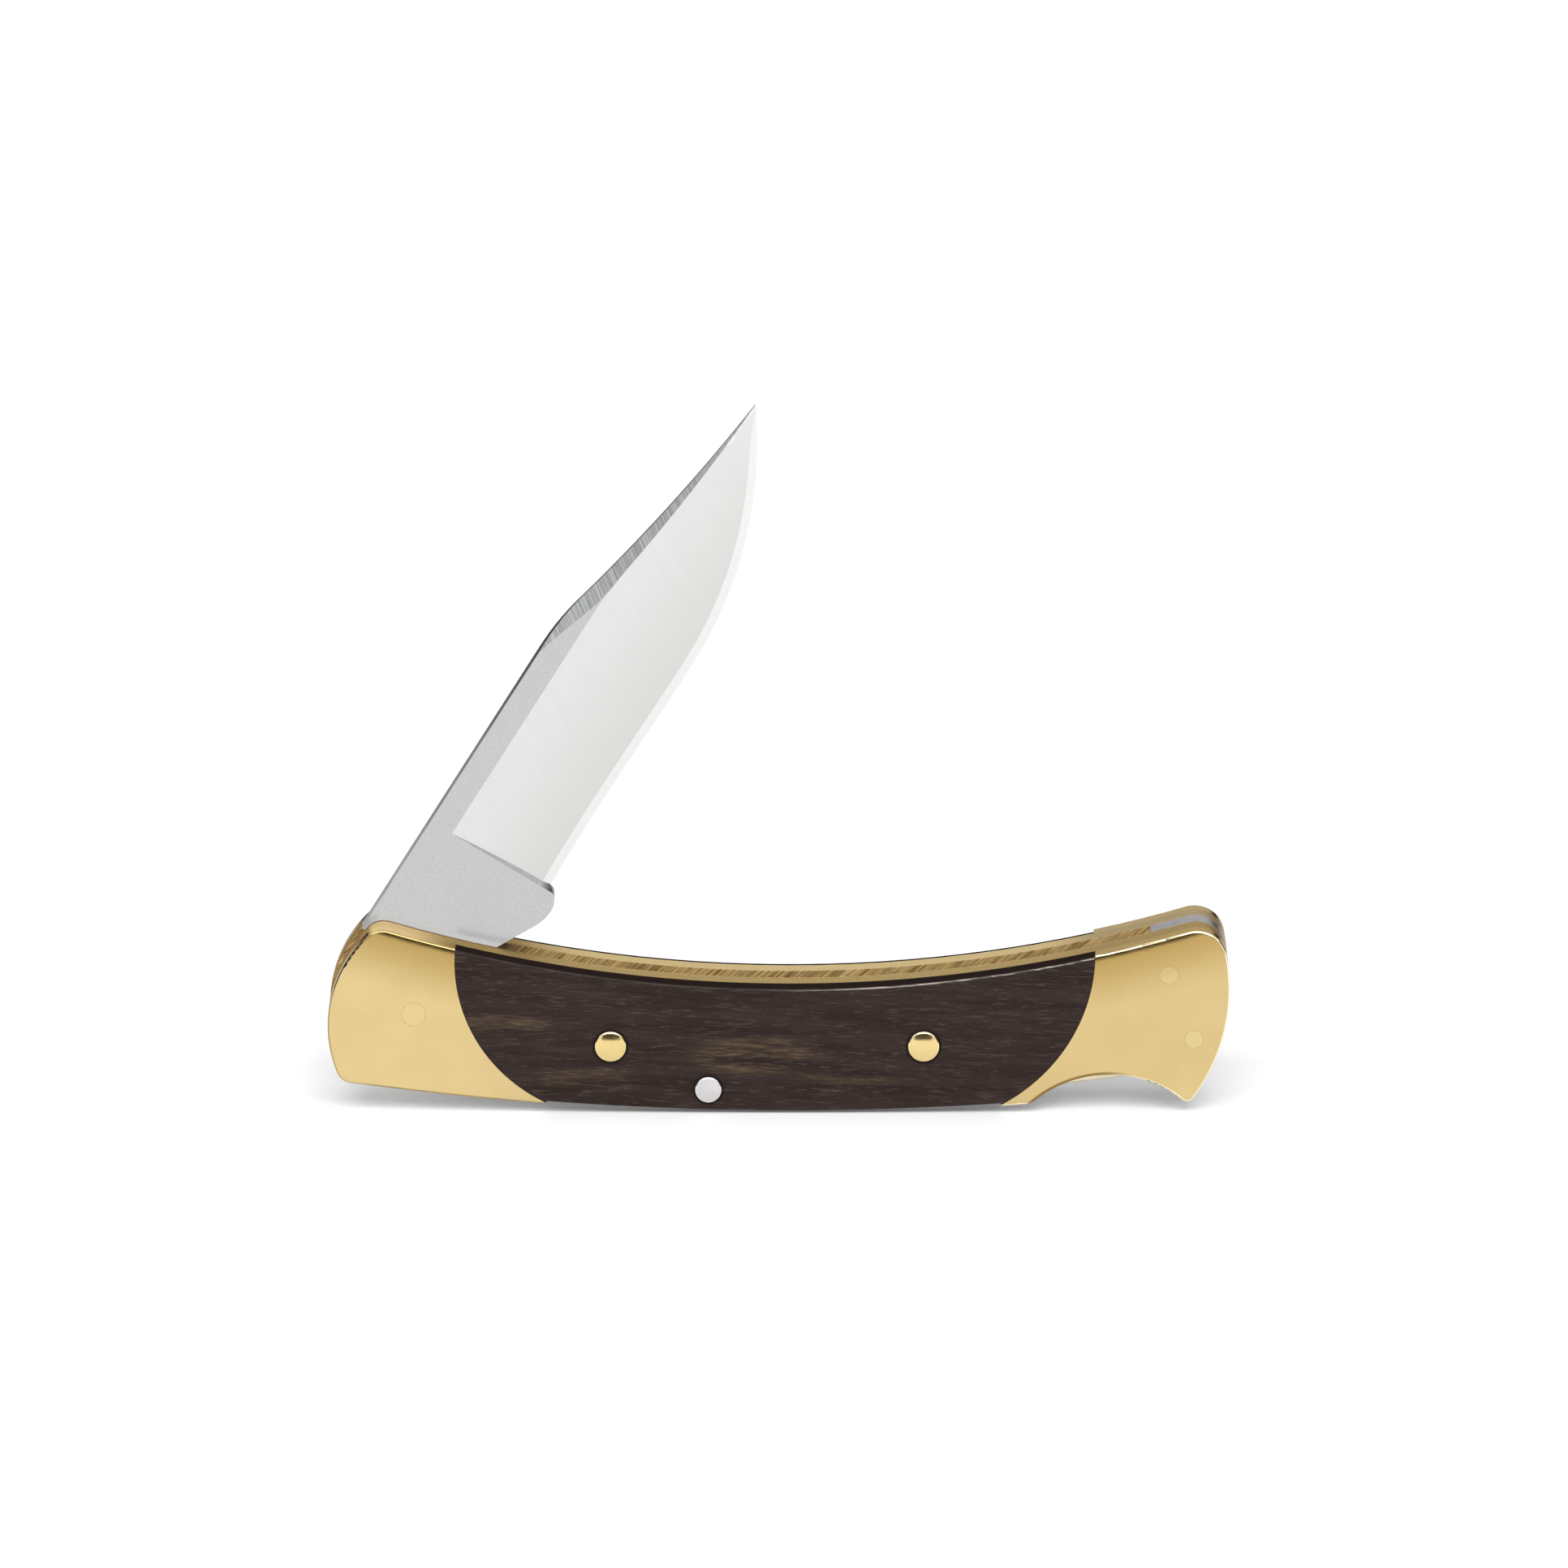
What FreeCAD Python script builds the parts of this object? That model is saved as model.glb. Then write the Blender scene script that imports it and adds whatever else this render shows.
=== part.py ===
import FreeCAD, Part
import math
import os

# Lockback folding pocket knife: a hollow-ground clip-point blade in a brass and wood handle.
# It stands on its back, slot upwards, with the blade part open. X runs along the handle from
# the pivot end to the butt, Y across the thickness (the right side is -Y) and Z up. The origin
# is at mid length and mid thickness, at the lowest point of the back. Millimetres and degrees.
# A rise is measured up from the pivot axis, a drop down from it, a reach from it towards the
# butt, and a setback from the butt towards the pivot.

# Handle outline
HANDLE_LENGTH = 85.8
PIVOT_SETBACK = 8.2          # front end of the handle to the pivot axis
FRONT_RADIUS = 12.5
FRONT_DROP = 1.3             # foremost point of the front end
WAIST_SHARE = 0.513          # middle of the slot edge and the back, as a share of the length
WAIST_RISE = 2.65            # slot edge at the waist
TOP_RADIUS = 132.0           # hollow of the slot edge
BACK_RADIUS = 294.0          # bow of the back
BUTT_RADIUS = 18.5
BUTT_RISE = 2.3              # rearmost point of the butt
NOTCH_RADIUS = 11.0          # thumb notch in the back, at the lock bar's pad
NOTCH_SETBACK = 11.4
NOTCH_HEIGHT = 3.8           # roof of the notch above the lowest point of the back
FRONT_TOP_CORNER = 2.0
FRONT_BACK_CORNER = 1.6
NOTCH_CORNER = 1.6
BEAK_CORNER = 0.7
BUTT_CORNER = 2.9

# Layers, from the middle outwards
BLADE_THICKNESS = 2.0
SIDE_PLAY = 0.05             # blade or lock bar to each liner
LINER_THICKNESS = 1.85
SCALE_THICKNESS = 1.4        # scales and bolsters
BOLSTER_ROUND = 0.2          # outer edges of the bolsters
SCALE_BEVEL_DROP = 0.3       # outer edges of the scales, down the face
SCALE_BEVEL_RUN = 1.0        # and across the edge

# Joints between the scales and the bolsters: arcs that bulge into the brass
FRONT_JOINT_RADIUS = 15.4
FRONT_JOINT_FOOT = 12.8      # reach of its foot on the back
FRONT_JOINT_LEAN = 25.0      # from upright, at the foot
REAR_JOINT_RADIUS = 17.2
REAR_JOINT_FOOT = 10.56      # its foot on the back, ahead of the notch's middle
REAR_JOINT_LEAN = 27.9
JOINT_SEAM = 0.03
JOINT_BLUNT = 0.25           # taken off the sharp tips of the bolsters at the back

# Pins and the pivot bushing
PIVOT_PIN_DIAMETER = 2.3
BUSHING_DIAMETER = 3.6
SCALE_PIN_DIAMETER = 3.1
FRONT_SCALE_PIN_REACH = 18.7
REAR_SCALE_PIN_SETBACK = 29.1
SCALE_PIN_DROP = 3.2
ROCKER_PIN_DIAMETER = 2.6
ROCKER_PIN_REACH = 28.0
ROCKER_PIN_HEIGHT = 2.4      # above the lowest point of the back
REAR_PIN_DIAMETER = 1.8
UPPER_REAR_PIN_SETBACK = 5.8
UPPER_REAR_PIN_RISE = 3.9
LOWER_REAR_PIN_SETBACK = 3.4
LOWER_REAR_PIN_DROP = 2.5
PIN_CROWN = 0.19             # low crown of the scale pins and the rocker pin
PIN_RIM = 0.23               # rim below the crown, proud of the scale
PIN_EDGE = 0.22              # round between the rim and the crown
PIN_FIT = 0.015              # radial gap of a fixed pin in its hole
RUNNING_FIT = 0.03           # radial gap of a turning fit

# Blade, measured with the knife closed, spine level
OPENING_ANGLE = 58.1         # from closed to the resting pose
OPEN_SWEEP = 174.0           # from closed to fully open
SPINE_RISE = 8.2
TIP_GAP = 2.95                # point to the end of the slot
TIP_RISE = 3.5
CLIP_LENGTH = 27.4           # clip, from its start on the spine to the point
CLIP_RADIUS = 180.0
CLIP_CORNER = 25.0
BELLY_LENGTH = 25.0          # lowest point of the belly to the point
BELLY_DROP = 4.9
RECURVE_LEAD = 10.0          # how far the belly runs on level towards the heel
RECURVE_RUN = 10.0           # slant of the edge where it leaves the heel
RECURVE_LIFT = 0.4
HEEL_REACH = 17.0
HEEL_DROP = 4.9
KICK_REACH = 14.8            # kick: the bump that stops the closing blade on the lock bar
KICK_DROP = 6.18
KICK_REAR_RADIUS = 2.0
KICK_FRONT_RADIUS = 4.5
TANG_SLANT = 28.0
TANG_RADIUS = 4.8
SPINE_FLAT = 2.36            # flat between the spine and the grind line
PLUNGE_REACH = 16.35
PLUNGE_RUN = 0.6             # from the flat to the full hollow
PLUNGE_LEAN = 68.0           # wall that the wheel leaves there, from the flat
HOLLOW_DEPTH = 0.13          # hollow of the grind below a straight bevel
EDGE_BEVEL = 0.85            # width of the cutting bevel
EDGE_SHOULDER = 0.36         # thickness at the top of the cutting bevel
EDGE_THICKNESS = 0.05
EDGE_RUNOUT = 0.2            # how far the cutting bevel's wheel runs on past the edge
BEVEL_SHARE = 0.3            # most of the ground height that the cutting bevel takes
SHOULDER_SHARE = 0.6         # most of the flat's half thickness that is left above it
HOLLOW_SHARE = 0.02          # deepest hollow for the ground height
GRIND_STEPS = 24
TIP_CROWDING = 1.5           # how much closer the sections come towards the point
TAPER_CURVE = 1.5            # the thickness falls off slowly at first
TIP_TAPER = 0.8              # share of the thickness that is ground away at the point
TIP_LAND = 0.05              # half the height that is left at the very point
SWEDGE_WIDTH = 1.4           # bevel along the clip, at its widest
SWEDGE_LEAD = 3.8            # how far it starts ahead of the clip
SWEDGE_FULL = 4.2            # how far past the clip's start it is widest
SWEDGE_SLOPE = 0.5           # fall of the bevel per width
SWEDGE_LAP = 0.5             # share of its width that the hollow runs up into
NICK_REACH = 31.0            # nail nick on the left face, below the spine
NICK_EDGE = 0.75             # its straight edge below the spine
NICK_WHEEL_RADIUS = 22.0
NICK_WIDTH = 1.35
NICK_DEPTH = 0.5

# Lock bar
LOCK_BAR_HEIGHT = 3.6        # at the waist
KICK_GAP = 0.08              # closed kick to the lock bar
LUG_FRONT = 4.4              # front face of the lug, ahead of the pivot axis
LUG_LENGTH = 2.8
LUG_GAP = 0.1                # lug to the round of the tang
LUG_BITE = 1.1               # how deep the lug drops into the tang's notch
NOTCH_PLAY = 0.2             # room round the lug in that notch
LUG_CORNER = 0.35
BOSS_WALL = 1.0              # round the rocker pin
PAD_HEIGHT = 1.5             # rear end of the bar, over the thumb notch
PAD_BEND = 4.0
PAD_RAMP = 7.0
PAD_LEAD = 9.0               # where the bar's rear end starts to rise, ahead of the notch's middle

# Lock spring
SPRING_ROOT = 7.5            # root block between the liners at the butt
BAR_END_GAP = 0.6            # lock bar to the root block
LEAF_SETBACK = 30.5          # tip of the leaf
LEAF_ROOT_DROP = 0.5         # top of the leaf where it leaves the root block
LEAF_ROOT_HEIGHT = 1.5
LEAF_TIP_HEIGHT = 0.8
LEAF_SAG = 0.35
LEAF_GAP = 0.05              # leaf to the lock bar

# Places worked out from the driving sizes
front_x = -HANDLE_LENGTH / 2
butt_x = HANDLE_LENGTH / 2
pivot_x = front_x + PIVOT_SETBACK
pivot_z = KICK_DROP + KICK_GAP + LOCK_BAR_HEIGHT
waist_x = front_x + WAIST_SHARE * HANDLE_LENGTH
slot_end_x = butt_x - SPRING_ROOT
bar_top_z = LOCK_BAR_HEIGHT
notch_x = butt_x - NOTCH_SETBACK
blade_half = BLADE_THICKNESS / 2
slot_half = blade_half + SIDE_PLAY
liner_face = slot_half + LINER_THICKNESS
side_face = liner_face + SCALE_THICKNESS
blade_reach = slot_end_x - TIP_GAP - pivot_x
CLEAR = 40.0                 # past every piece, for cutting tools
LAP = 1.0                    # past one face, for cutting tools and joined pieces
NEAR = 0.0001                # places this close are the same
ACROSS = FreeCAD.Vector(0, 1, 0)


def at(x, z, y=0.0):
    return FreeCAD.Vector(x, y, z)


def turned(place, degrees):
    """A place on the blade, turned about the pivot the way the blade opens."""
    c = math.cos(math.radians(degrees))
    s = math.sin(math.radians(degrees))
    return at(place.x * c - place.z * s, place.x * s + place.z * c)


def line(a, b):
    return Part.LineSegment(a, b).toShape()


def bowed(a, b, sag):
    """An arc from a to b that bows to the right of its run by sag."""
    run = b - a
    side = at(run.z, -run.x)
    side.normalize()
    return Part.Arc(a, (a + b) * 0.5 + side * sag, b).toShape()


def arc_on(circle, a, b):
    """The shorter arc from a to b on a circle given as its centre's x and z, and its radius."""
    centre = at(circle[0], circle[1])
    out = (a + b) * 0.5 - centre
    out.normalize()
    return Part.Arc(a, centre + out * circle[2], b).toShape()


def meet(one, two, foremost):
    """One of the two places where two circles cross: the foremost or the rearmost."""
    a = at(one[0], one[1])
    gap = at(two[0], two[1]) - a
    along = (one[2] ** 2 - two[2] ** 2 + gap.Length ** 2) / (2 * gap.Length)
    aside = math.sqrt(one[2] ** 2 - along ** 2)
    gap.normalize()
    places = [a + gap * along + at(-gap.z, gap.x) * s for s in (aside, -aside)]
    places.sort(key=lambda p: p.x)
    return places[0] if foremost else places[1]


def slab(edges, y_from, y_to):
    """An outline in the XZ plane, made solid between two depths."""
    face = Part.Face(Part.Wire(Part.__sortEdges__(edges)))
    face.translate(ACROSS * y_from)
    return face.extrude(ACROSS * (y_to - y_from))


def polygon(places):
    return [line(a, b) for a, b in zip(places, places[1:] + places[:1])]


def disc(x, z, radius, y_from=-CLEAR, y_to=CLEAR):
    return Part.makeCylinder(radius, y_to - y_from, at(x, z, y_from), ACROSS)


def block(x_from, x_to, z_from, z_to, y_from=-CLEAR, y_to=CLEAR):
    return Part.makeBox(x_to - x_from, y_to - y_from, z_to - z_from, at(x_from, z_from, y_from))


def rounded(solid, corners):
    """Round the edges that run across the thickness at the given places."""
    for place, radius in corners:
        edges = []
        for edge in solid.Edges:
            away = [math.hypot(v.X - place.x, v.Z - place.z) for v in edge.Vertexes]
            if max(away) < 1e-4:
                edges.append(edge)
        solid = solid.makeFillet(radius, edges)
    return solid


def other_side(shape):
    return shape.mirror(at(0, 0), ACROSS)


def grown(circle, side, corner):
    """A circle for the centres of the corner arcs that touch it: inside it (-1) or outside (1)."""
    return (circle[0], circle[1], circle[2] + side * corner)


def touch(circle, centre):
    """Where a corner arc about a centre touches a circle."""
    middle = at(circle[0], circle[1])
    out = centre - middle
    out.normalize()
    return middle + out * circle[2]


def handle_outline():
    """The face that every layer of the handle is cut to: five arcs with rounded corners."""
    top = (waist_x, pivot_z + WAIST_RISE + TOP_RADIUS, TOP_RADIUS)
    back = (waist_x, BACK_RADIUS, BACK_RADIUS)
    front = (front_x + FRONT_RADIUS, pivot_z - FRONT_DROP, FRONT_RADIUS)
    butt = (butt_x - BUTT_RADIUS, pivot_z + BUTT_RISE, BUTT_RADIUS)
    notch = (notch_x, NOTCH_HEIGHT - NOTCH_RADIUS, NOTCH_RADIUS)
    hollow, full = 1, -1
    corners = [
        (front, full, top, hollow, FRONT_TOP_CORNER, True),
        (top, hollow, butt, full, BUTT_CORNER, False),
        (butt, full, notch, hollow, BEAK_CORNER, False),
        (notch, hollow, back, full, NOTCH_CORNER, True),
        (back, full, front, full, FRONT_BACK_CORNER, True),
    ]
    edges = []
    ends = []
    for one, one_side, two, two_side, corner, foremost in corners:
        centre = meet(grown(one, one_side, corner), grown(two, two_side, corner), foremost)
        start, end = touch(one, centre), touch(two, centre)
        edges.append(arc_on((centre.x, centre.z, corner), start, end))
        ends.append((start, end, two))
    for (start, end, circle), (next_start, next_end, next_circle) in zip(ends, ends[1:] + ends[:1]):
        edges.append(arc_on(circle, end, next_start))
    return Part.Face(Part.Wire(Part.sortEdges(edges)[0]))


def layer(outline, y_from, y_to):
    face = outline.copy()
    face.translate(ACROSS * y_from)
    return face.extrude(ACROSS * (y_to - y_from))


def joint_centre(foot_x, radius, lean, side):
    """Centre of a joint's arc, behind (1) or ahead (-1) of its foot on the back."""
    foot_z = BACK_RADIUS - math.sqrt(BACK_RADIUS ** 2 - (foot_x - waist_x) ** 2)
    slant = math.radians(lean)
    return foot_x + side * radius * math.sin(slant), foot_z + radius * math.cos(slant)


def scale_region(gap):
    """Everything between the two joint arcs, drawn in by a gap."""
    front_foot = pivot_x + FRONT_JOINT_FOOT
    rear_foot = notch_x - REAR_JOINT_FOOT
    front_x_z = joint_centre(front_foot, FRONT_JOINT_RADIUS, FRONT_JOINT_LEAN, 1)
    rear_x_z = joint_centre(rear_foot, REAR_JOINT_RADIUS, REAR_JOINT_LEAN, -1)
    front = disc(front_x_z[0], front_x_z[1], FRONT_JOINT_RADIUS - gap)
    rear = disc(rear_x_z[0], rear_x_z[1], REAR_JOINT_RADIUS - gap)
    return block(front_x_z[0], rear_x_z[0], -CLEAR, CLEAR).fuse([front, rear])


def rim_edges(solid, outline, depth):
    """The edges of the face at one depth that follow the handle's outline."""
    rim = outline.OuterWire.copy()
    rim.translate(ACROSS * depth)
    flat = [e for e in solid.Edges if all(abs(v.Y - depth) < NEAR for v in e.Vertexes)]
    return [e for e in flat if rim.distToShape(Part.Vertex(e.discretize(3)[1]))[0] < NEAR]


def holes(places, diameter, fit):
    return [disc(x, z, diameter / 2 + fit) for x, z in places]


def bolsters(outline):
    """Front and rear bolster of the left side, with rounded outer edges."""
    pieces = layer(outline, liner_face, side_face).cut(scale_region(0)).Solids
    pieces.sort(key=lambda piece: piece.CenterOfMass.x)
    blunt_from = pieces[0].BoundBox.XMax - JOINT_BLUNT
    blunt_to = pieces[1].BoundBox.XMin + JOINT_BLUNT
    done = []
    for piece in pieces:
        piece = piece.cut(block(blunt_from, blunt_to, -CLEAR, CLEAR))
        piece = piece.makeFillet(BOLSTER_ROUND, rim_edges(piece, outline, side_face))
        piece = piece.cut(holes([pivot], PIVOT_PIN_DIAMETER, PIN_FIT))
        done.append(piece.cut(holes(rear_pins, REAR_PIN_DIAMETER, PIN_FIT)))
    return done


def eased(cover, edge):
    """A scale with one long edge bevelled: the first size of a chamfer lies on the edge's first face."""
    first = next(face for face in cover.Faces if any(other.isSame(edge) for other in face.Edges))
    down_first = isinstance(first.Surface, Part.Plane)
    sizes = (SCALE_BEVEL_DROP, SCALE_BEVEL_RUN) if down_first else (SCALE_BEVEL_RUN, SCALE_BEVEL_DROP)
    return cover.makeChamfer(sizes[0], sizes[1], [edge])


def scale(outline):
    """Scale of the left side: its two long edges are eased towards the outer face."""
    cover = layer(outline, liner_face, side_face).common(scale_region(JOINT_SEAM)).Solids[0]
    for long_edge in range(2):
        cover = eased(cover, rim_edges(cover, outline, side_face)[0])
    cover = cover.cut(holes(scale_pins, SCALE_PIN_DIAMETER, PIN_FIT))
    return cover.cut(holes([rocker], ROCKER_PIN_DIAMETER, PIN_FIT))


def liner(outline):
    plate = layer(outline, slot_half, liner_face)
    plate = plate.cut(holes([pivot], PIVOT_PIN_DIAMETER, PIN_FIT))
    plate = plate.cut(holes(scale_pins, SCALE_PIN_DIAMETER, PIN_FIT))
    plate = plate.cut(holes([rocker], ROCKER_PIN_DIAMETER, PIN_FIT))
    return plate.cut(holes(rear_pins, REAR_PIN_DIAMETER, PIN_FIT))


def crown(x, z, radius, depth):
    """Low crown of a pin's head, standing on its shank at one depth."""
    ball = (radius ** 2 + PIN_CROWN ** 2) / (2 * PIN_CROWN)
    half_turn = math.asin(radius / ball) / 2
    middle = at(x + ball * math.sin(half_turn), z, depth + PIN_CROWN - ball * (1 - math.cos(half_turn)))
    foot = at(x, z, depth)
    rim = at(x + radius, z, depth)
    top = at(x, z, depth + PIN_CROWN)
    profile = Part.Wire([line(foot, rim), Part.Arc(rim, middle, top).toShape(), line(top, foot)])
    return Part.Face(profile).revolve(foot, ACROSS, 360)


def soft_rim(pin, depth):
    """The pin with the edge below its crown rounded, on both sides where it has two."""
    rims = [e for e in pin.Edges if all(abs(abs(v.Y) - depth) < NEAR for v in e.Vertexes)]
    return pin.makeFillet(PIN_EDGE, rims)


def scale_pin(place):
    """Rivet of the left side, through the scale and the liner, flush inside the slot."""
    radius = SCALE_PIN_DIAMETER / 2
    end = side_face + PIN_RIM
    shank = disc(place[0], place[1], radius, slot_half, end)
    pin = shank.fuse(crown(place[0], place[1], radius, end)).removeSplitter()
    return soft_rim(pin, end)


def rocker_pin():
    radius = ROCKER_PIN_DIAMETER / 2
    end = side_face + PIN_RIM
    head = crown(rocker[0], rocker[1], radius, end)
    shank = disc(rocker[0], rocker[1], radius, -end, end)
    return soft_rim(shank.fuse([head, other_side(head)]).removeSplitter(), end)


def flush_pin(place, diameter):
    return disc(place[0], place[1], diameter / 2, -side_face, side_face)


def pivot_bushing():
    sleeve = disc(pivot[0], pivot[1], BUSHING_DIAMETER / 2, -slot_half, slot_half)
    return sleeve.cut(holes([pivot], PIVOT_PIN_DIAMETER, PIN_FIT))


def lug_tip_drop():
    """How far below the pivot axis the lug's tip lies, with its rear corner on the tang's round."""
    return math.sqrt((TANG_RADIUS + LUG_GAP) ** 2 - (LUG_FRONT - LUG_LENGTH) ** 2)


def tang_notch():
    """The notch that the lug drops into, on the closed blade: from the spine to the tang's round."""
    front_wall = -LUG_FRONT - NOTCH_PLAY
    rear_wall = -LUG_FRONT + LUG_LENGTH + NOTCH_PLAY
    floor = -lug_tip_drop() + LUG_BITE + NOTCH_PLAY
    sweep = math.radians(OPEN_SWEEP)
    mouth = (SPINE_RISE + front_wall * math.sin(sweep)) / math.cos(sweep)
    hook = -math.sqrt(TANG_RADIUS ** 2 - rear_wall ** 2)
    places = [at(front_wall, mouth), at(front_wall, floor), at(rear_wall, floor), at(rear_wall, hook)]
    return [turned(place, -OPEN_SWEEP) for place in places]


def blade_plate():
    """The blade's outline at full thickness, closed, with the pivot axis at the origin."""
    shoulder, floor_front, floor_rear, hook = tang_notch()
    tip = at(blade_reach, TIP_RISE)
    clip = at(blade_reach - CLIP_LENGTH, SPINE_RISE)
    belly = at(blade_reach - BELLY_LENGTH, -BELLY_DROP)
    belly_rise = tip.z - belly.z
    belly_radius = (BELLY_LENGTH ** 2 + belly_rise ** 2) / (2 * belly_rise)
    heel = at(HEEL_REACH, -HEEL_DROP)
    recurve = Part.BezierCurve()
    recurve.setPoles([
        belly,
        belly - at(RECURVE_LEAD, 0),
        heel + at(RECURVE_RUN, RECURVE_LIFT),
        heel,
    ])
    kick = at(KICK_REACH, -KICK_DROP)
    rear_centre = kick + at(0, KICK_REAR_RADIUS)
    nick_drop = math.acos((rear_centre.z - heel.z) / KICK_REAR_RADIUS)
    nick = rear_centre + at(math.sin(nick_drop), -math.cos(nick_drop)) * KICK_REAR_RADIUS
    slant = math.radians(TANG_SLANT)
    front_centre = kick + at(0, KICK_FRONT_RADIUS)
    leave = front_centre - at(math.sin(slant), math.cos(slant)) * KICK_FRONT_RADIUS
    along = at(-math.cos(slant), math.sin(slant))
    back_along = -leave.dot(along)
    aside = (leave + along * back_along).Length
    root = leave + along * (back_along - math.sqrt(TANG_RADIUS ** 2 - aside ** 2))
    edges = [
        line(shoulder, clip),
        bowed(clip, tip, CLIP_LENGTH ** 2 / (8 * CLIP_RADIUS)),
        arc_on((belly.x, belly.z + belly_radius, belly_radius), tip, belly),
        recurve.toShape(),
        line(heel, nick),
        arc_on((rear_centre.x, rear_centre.z, KICK_REAR_RADIUS), nick, kick),
        arc_on((front_centre.x, front_centre.z, KICK_FRONT_RADIUS), kick, leave),
        line(leave, root),
        Part.Arc(root, at(-TANG_RADIUS * math.cos(slant), -TANG_RADIUS * math.sin(slant)), hook).toShape(),
        line(hook, floor_rear),
        line(floor_rear, floor_front),
        line(floor_front, shoulder),
    ]
    return rounded(slab(edges, -blade_half, blade_half), [(clip, CLIP_CORNER)])


def span(plate, x):
    """Lowest and highest point of the blade's outline at one place along it."""
    if x >= blade_reach:
        return TIP_RISE - TIP_LAND, TIP_RISE + TIP_LAND
    box = plate.slice(at(1, 0), x)[0].BoundBox
    return box.ZMin, box.ZMax


def stations(start):
    """Places from a start to the point, closer together towards the point."""
    shares = [1 - i / GRIND_STEPS for i in range(GRIND_STEPS + 1)]
    return [blade_reach - (blade_reach - start) * share ** TIP_CROWDING for share in shares]


def half_thickness(x):
    """Half the thickness at the top of the grind, which falls off from the belly to the point."""
    run = max(0.0, (x - (blade_reach - BELLY_LENGTH)) / BELLY_LENGTH)
    return blade_half * (1 - TIP_TAPER * run ** TAPER_CURVE)


def swedge_width(x):
    """Width of the bevel along the clip: below zero ahead of its start, widest past the clip's."""
    start = blade_reach - CLIP_LENGTH - SWEDGE_LEAD
    full = blade_reach - CLIP_LENGTH + SWEDGE_FULL
    if x <= full:
        return SWEDGE_WIDTH * math.sin(math.pi / 2 * (x - start) / (full - start))
    return SWEDGE_WIDTH * (blade_reach - x) / (blade_reach - full)


def section(x, places):
    """A closed wire across the blade. A run of three places in a tuple is an arc."""
    edges = []
    last = None
    for place in places + places[:1]:
        if isinstance(place[0], tuple):
            middle, end = (FreeCAD.Vector(x, y, z) for z, y in place)
            edges.append(Part.Arc(last, middle, end).toShape())
        else:
            end = FreeCAD.Vector(x, place[1], place[0])
            if last is not None:
                edges.append(line(last, end))
        last = end
    return Part.Wire(edges)


def grind_section(plate, x, shift=0.0):
    """What the wheel takes off the left face at one place: hollow above, cutting bevel below."""
    low, high = span(plate, x)
    top_y = half_thickness(x)
    top = min(SPINE_RISE - SPINE_FLAT, high - SWEDGE_LAP * swedge_width(x))
    bevel = min(EDGE_BEVEL, BEVEL_SHARE * (top - low))
    shoulder_y = min(EDGE_SHOULDER / 2, SHOULDER_SHARE * top_y)
    edge_y = EDGE_THICKNESS / 2
    shoulder = low + bevel
    hollow = min(HOLLOW_DEPTH, HOLLOW_SHARE * (top - shoulder))
    middle = ((top + shoulder) / 2, (top_y + shoulder_y) / 2 - hollow)
    return section(x + shift, [
        (top + LAP, top_y + LAP),
        (top, top_y),
        (middle, (shoulder, shoulder_y)),
        (low, edge_y),
        (low - LAP, edge_y - EDGE_RUNOUT),
        (low - LAP, top_y + LAP),
    ])


def plunge_wall():
    """What the wheel's side leaves standing at the plunge line: a wall that leans towards the point."""
    lean = 1 / math.tan(math.radians(PLUNGE_LEAN))
    back = PLUNGE_REACH - 2 * LAP
    out = blade_half + 2 * LAP
    places = [
        (back, -LAP),
        (PLUNGE_REACH + (blade_half + LAP) * lean, -LAP),
        (PLUNGE_REACH - 2 * LAP * lean, out),
        (back, out),
    ]
    corners = [FreeCAD.Vector(x, y, -CLEAR) for x, y in places]
    return Part.Face(Part.makePolygon(corners + corners[:1])).extrude(FreeCAD.Vector(0, 0, 2 * CLEAR))


def grind(plate):
    """The hollow grind of the left face, from the plunge line to the point."""
    start = PLUNGE_REACH + PLUNGE_RUN
    wires = [grind_section(plate, start, -PLUNGE_RUN - LAP)]
    wires += [grind_section(plate, x) for x in stations(start)]
    return Part.makeLoft(wires, True, True).cut(plunge_wall())


def swedge(plate):
    """The bevel along the clip on the left face."""
    wires = []
    for x in stations(blade_reach - CLIP_LENGTH - SWEDGE_LEAD - LAP):
        low = span(plate, x)[1] - swedge_width(x)
        face_y = half_thickness(x)
        reach = 2 * BLADE_THICKNESS
        rise = face_y / SWEDGE_SLOPE
        wires.append(section(x, [
            (low - (reach - face_y) / SWEDGE_SLOPE, reach),
            (low + rise, 0.0),
            (low + rise, reach),
        ]))
    return Part.makeLoft(wires, True, True)


def nail_nick():
    """Half-moon nick in the left face: a straight edge above, cut by a bevelled wheel."""
    edge_z = SPINE_RISE - NICK_EDGE
    axis_y = blade_half - NICK_DEPTH + NICK_WHEEL_RADIUS
    rim = FreeCAD.Vector(NICK_REACH, axis_y - NICK_WHEEL_RADIUS, edge_z)
    hub_top = FreeCAD.Vector(NICK_REACH, axis_y, edge_z)
    spread = NICK_WIDTH * NICK_WHEEL_RADIUS / NICK_DEPTH
    hub_low = FreeCAD.Vector(NICK_REACH, axis_y, edge_z - spread)
    profile = Part.Face(Part.Wire([line(hub_top, rim), line(rim, hub_low), line(hub_low, hub_top)]))
    return profile.revolve(hub_top, at(0, 1), 360)


def blade():
    """The blade, ground on both faces and set to its resting pose."""
    plate = blade_plate()
    cutters = [grind(plate), swedge(plate)]
    body = plate
    for cutter in cutters:
        body = body.cut(cutter).cut(other_side(cutter))
    body = body.cut(nail_nick())
    body = body.cut(disc(0, 0, BUSHING_DIAMETER / 2 + RUNNING_FIT))
    body.rotate(at(0, 0), -ACROSS, OPENING_ANGLE)
    body.translate(at(pivot[0], pivot[1]))
    return body


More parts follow.
